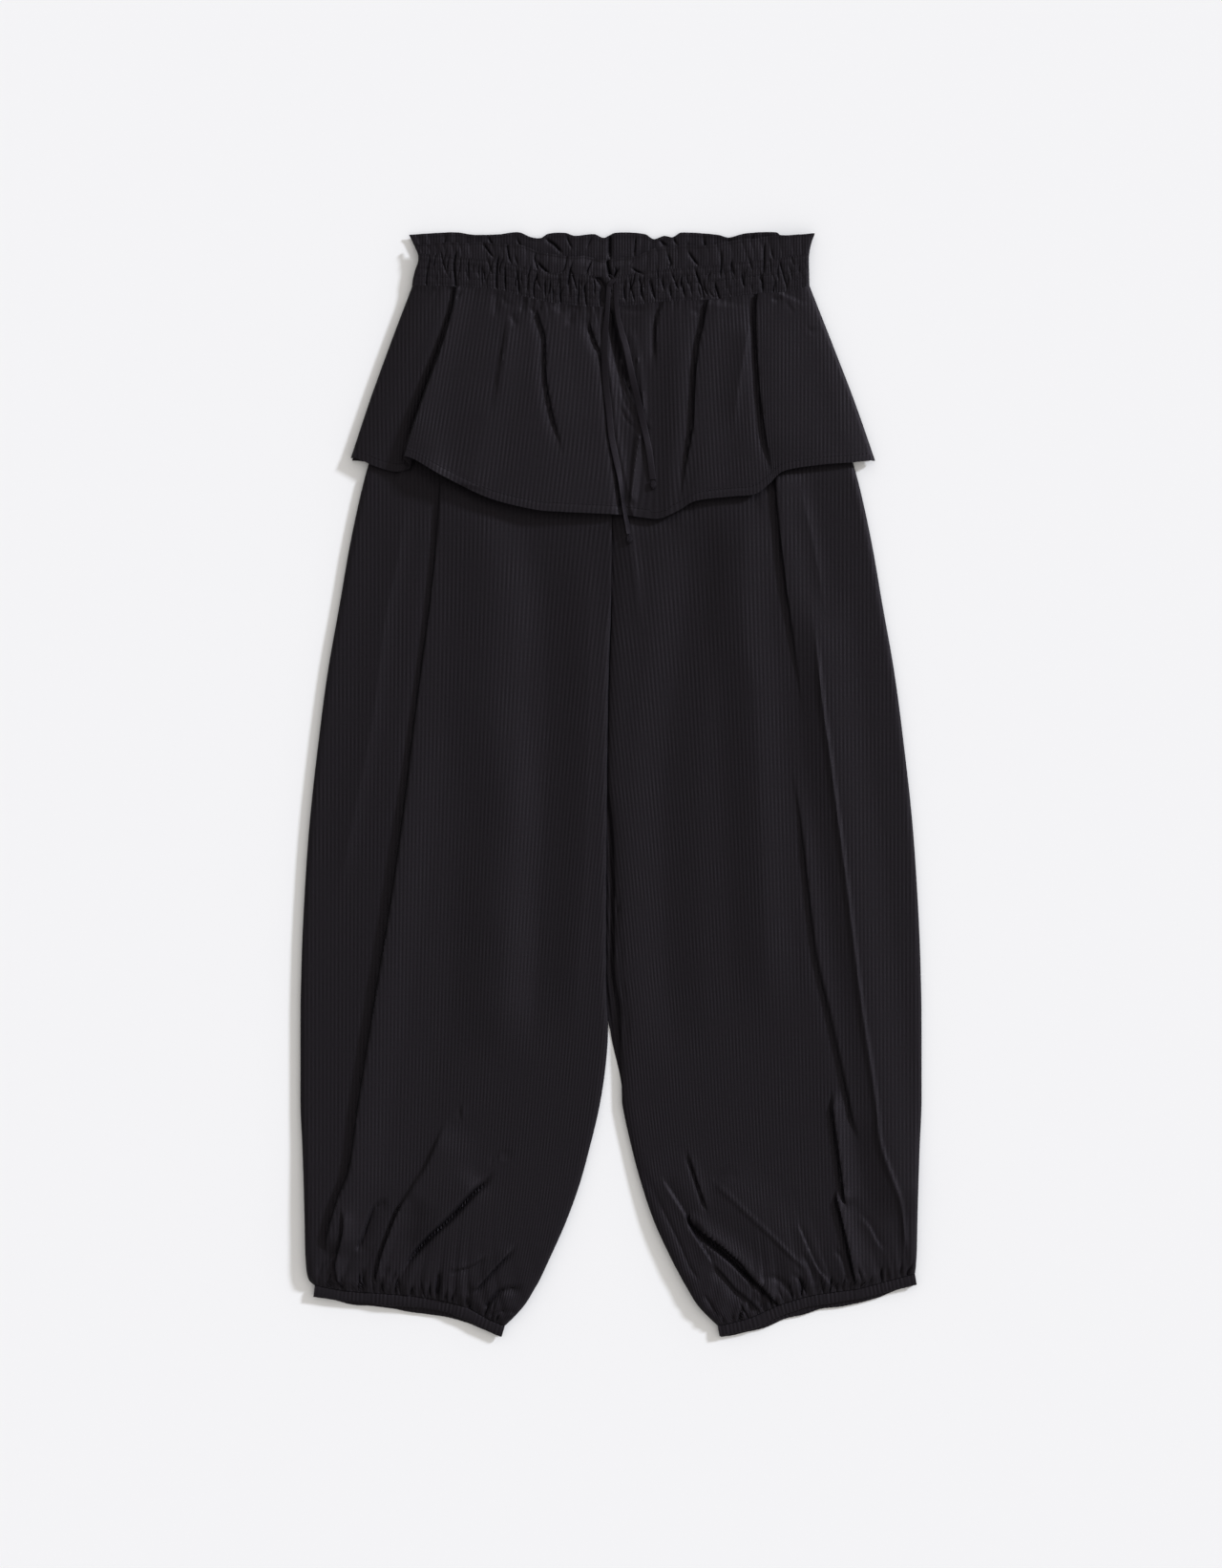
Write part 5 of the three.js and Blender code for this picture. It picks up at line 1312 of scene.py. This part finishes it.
def build_rib_weave():
    """Ribs that come and go in patches, fine threads across them, and a little noise."""
    group, given, result = new_group(
        "rib weave",
        [("Vector", "NodeSocketVector", None), ("Rib Spacing", "NodeSocketFloat", RIB_SPACING),
         ("Weave Spacing", "NodeSocketFloat", WEAVE_SPACING)],
        [("Height", "NodeSocketFloat"), ("Mask", "NodeSocketFloat")])
    parts = group.nodes.new("ShaderNodeSeparateXYZ")
    group.links.new(given.outputs["Vector"], parts.inputs[0])

    def wave(coordinate, spacing):
        turns = math_node(group, "DIVIDE", coordinate, spacing)
        return math_node(group, "SINE", math_node(group, "MULTIPLY", turns, 2 * math.pi))

    rib = wave(parts.outputs["X"], given.outputs["Rib Spacing"])
    cross = wave(parts.outputs["Y"], given.outputs["Rib Spacing"])
    warp = wave(parts.outputs["X"], given.outputs["Weave Spacing"])
    weft = wave(parts.outputs["Y"], given.outputs["Weave Spacing"])
    noise = group.nodes.new("ShaderNodeTexNoise")
    noise.inputs["Scale"].default_value = 260.0
    noise.inputs["Detail"].default_value = 3.0
    group.links.new(given.outputs["Vector"], noise.inputs["Vector"])
    patches = group.nodes.new("ShaderNodeTexNoise")
    patches.inputs["Scale"].default_value = 45.0
    patches.inputs["Detail"].default_value = 2.0
    group.links.new(given.outputs["Vector"], patches.inputs["Vector"])
    strong = math_node(group, "MULTIPLY_ADD", patches.outputs["Fac"], 3.2, -0.6)
    rib = math_node(group, "MULTIPLY", rib, strong)
    ribbed = math_node(group, "ADD", rib, math_node(group, "MULTIPLY", cross, 0.08))
    threads = math_node(group, "MULTIPLY", math_node(group, "MULTIPLY", warp, weft), 0.25)
    grain = math_node(group, "SUBTRACT", noise.outputs["Fac"], 0.5)
    height = math_node(group, "ADD", math_node(group, "ADD", ribbed, threads), grain)
    group.links.new(height, result.inputs["Height"])
    mask = math_node(group, "ADD", math_node(group, "MULTIPLY", ribbed, 0.35), 0.5)
    mask = math_node(group, "ADD", mask, math_node(group, "MULTIPLY", grain, 0.5))
    group.links.new(mask, result.inputs["Mask"])
    return group


rib_weave = build_rib_weave()
print("the rib weave has", len(rib_weave.nodes), "nodes")

# %% [markdown]
# Cloth and tape are the same material with other measures: two nearly black tones, the height of
# the rib, and how far the ribs stand apart. The sheen is low, because the yarn is matt, and it
# leans slightly towards violet.

# %% Cloth and tape
SHEEN_LEVEL = 0.12
SHEEN_TINT = (1.0, 0.88, 1.0, 1.0)
ROUGHNESS = 0.5
ROUGHNESS_SWING = 0.05     # the ribs are smoother than the cloth between them
CLOTH_TONES = ((0.0056, 0.0049, 0.0064), (0.0098, 0.0088, 0.0110))
TAPE_TONES = ((0.0056, 0.0047, 0.0065), (0.0092, 0.008, 0.0103))
CLOTH_RIB_HEIGHT = 0.085 * MM
TAPE_RIB_HEIGHT = 0.05 * MM
TAPE_RIB_SPACING = 0.9 * MM


def cloth_material(name, tones, rib_height, rib_spacing):
    """A material that draws the rib weave on a piece's own UV map."""
    dark, light = tones
    material = bpy.data.materials.new(name)
    material.use_nodes = True
    tree = material.node_tree
    shader = tree.nodes["Principled BSDF"]
    uv = tree.nodes.new("ShaderNodeUVMap")
    uv.uv_map = UV_NAME
    weave = tree.nodes.new("ShaderNodeGroup")
    weave.node_tree = rib_weave
    weave.inputs["Rib Spacing"].default_value = rib_spacing
    weave.inputs["Weave Spacing"].default_value = WEAVE_SPACING
    tree.links.new(uv.outputs["UV"], weave.inputs["Vector"])
    ramp = tree.nodes.new("ShaderNodeMix")
    ramp.data_type = "RGBA"
    ramp.inputs["A"].default_value = (*dark, 1.0)
    ramp.inputs["B"].default_value = (*light, 1.0)
    tree.links.new(weave.outputs["Mask"], ramp.inputs["Factor"])
    tree.links.new(ramp.outputs["Result"], shader.inputs["Base Color"])
    bump = tree.nodes.new("ShaderNodeBump")
    bump.inputs["Distance"].default_value = rib_height
    bump.inputs["Strength"].default_value = 1.0
    tree.links.new(weave.outputs["Height"], bump.inputs["Height"])
    tree.links.new(bump.outputs["Normal"], shader.inputs["Normal"])
    rough = tree.nodes.new("ShaderNodeMapRange")
    rough.inputs["To Min"].default_value = ROUGHNESS + ROUGHNESS_SWING
    rough.inputs["To Max"].default_value = ROUGHNESS - ROUGHNESS_SWING
    tree.links.new(weave.outputs["Mask"], rough.inputs["Value"])
    tree.links.new(rough.outputs["Result"], shader.inputs["Roughness"])
    shader.inputs["Specular IOR Level"].default_value = SHEEN_LEVEL
    shader.inputs["Specular Tint"].default_value = SHEEN_TINT
    return material


finishes = {
    "ribbed_cloth": cloth_material("ribbed_cloth", CLOTH_TONES, CLOTH_RIB_HEIGHT, RIB_SPACING),
    "drawstring_tape": cloth_material("drawstring_tape", TAPE_TONES, TAPE_RIB_HEIGHT, TAPE_RIB_SPACING),
}
for name, piece in pieces.items():
    piece.data.materials.clear()
    piece.data.materials.append(finishes[slots[name]])
print(len(pieces), "pieces in", len(finishes), "materials")

# %% [markdown]
# ## Table and light
# The table is a pale matt plane. Seen from above it fills the whole view, and only in a low view
# does its far edge show.

# %% Table
bpy.ops.mesh.primitive_plane_add(size=6.0, location=(0, 0, 0))
table_top = bpy.context.object
table_top.name = "table_top"
table_top.data.transform(table_top.matrix_world)
table_top.matrix_world.identity()
paper = bpy.data.materials.new("pale_table")
paper.use_nodes = True
paper_shader = paper.node_tree.nodes["Principled BSDF"]
paper_shader.inputs["Base Color"].default_value = (0.9, 0.9, 0.91, 1)
paper_shader.inputs["Roughness"].default_value = 0.9
paper_shader.inputs["Specular IOR Level"].default_value = 0.0
table_top.data.materials.append(paper)
print("table", round(table_top.dimensions.x, 1), "metres wide")

# %% [markdown]
# One broad soft key comes from the upper right at a low angle. It shows the folds and gives the
# narrow shadow along the left and lower edges. A pale room around it, a little brighter on the side
# of the key, fills the shadows.

# %% Light
KEY_ELEVATION = math.radians(23)
KEY_AZIMUTH = math.radians(33)     # from +X towards +Y
KEY_ENERGY = 3.12
KEY_SOFTNESS = math.radians(7)
KEY_COLOUR = (0.87, 0.91, 1.0)
ROOM_COLOUR = (1.0, 0.975, 0.935, 1)
ROOM_STRENGTH = 0.67
ROOM_LEAN = 0.5                    # how much brighter the room is towards the key than overhead
key_data = bpy.data.lights.new("key", "SUN")
key_data.angle = KEY_SOFTNESS
key_data.energy = KEY_ENERGY
key_data.color = KEY_COLOUR
key = bpy.data.objects.new("key", key_data)
key.rotation_euler = (0, math.pi / 2 - KEY_ELEVATION, KEY_AZIMUTH)
scene.collection.objects.link(key)

world = bpy.data.worlds.new("room")
scene.world = world
world.use_nodes = True
room = world.node_tree
background = room.nodes["Background"]
background.inputs["Color"].default_value = ROOM_COLOUR
direction = room.nodes.new("ShaderNodeTexCoord")
towards = room.nodes.new("ShaderNodeVectorMath")
towards.operation = "DOT_PRODUCT"
towards.inputs[1].default_value = (math.cos(KEY_AZIMUTH), math.sin(KEY_AZIMUTH), 0.0)
room.links.new(direction.outputs["Generated"], towards.inputs[0])
swing = ROOM_STRENGTH * ROOM_LEAN
strength = math_node(room, "MULTIPLY_ADD", towards.outputs["Value"], swing, ROOM_STRENGTH)
room.links.new(strength, background.inputs["Strength"])
scene.view_settings.view_transform = "Standard"
print("key at", round(math.degrees(KEY_ELEVATION)), "degrees above the table")
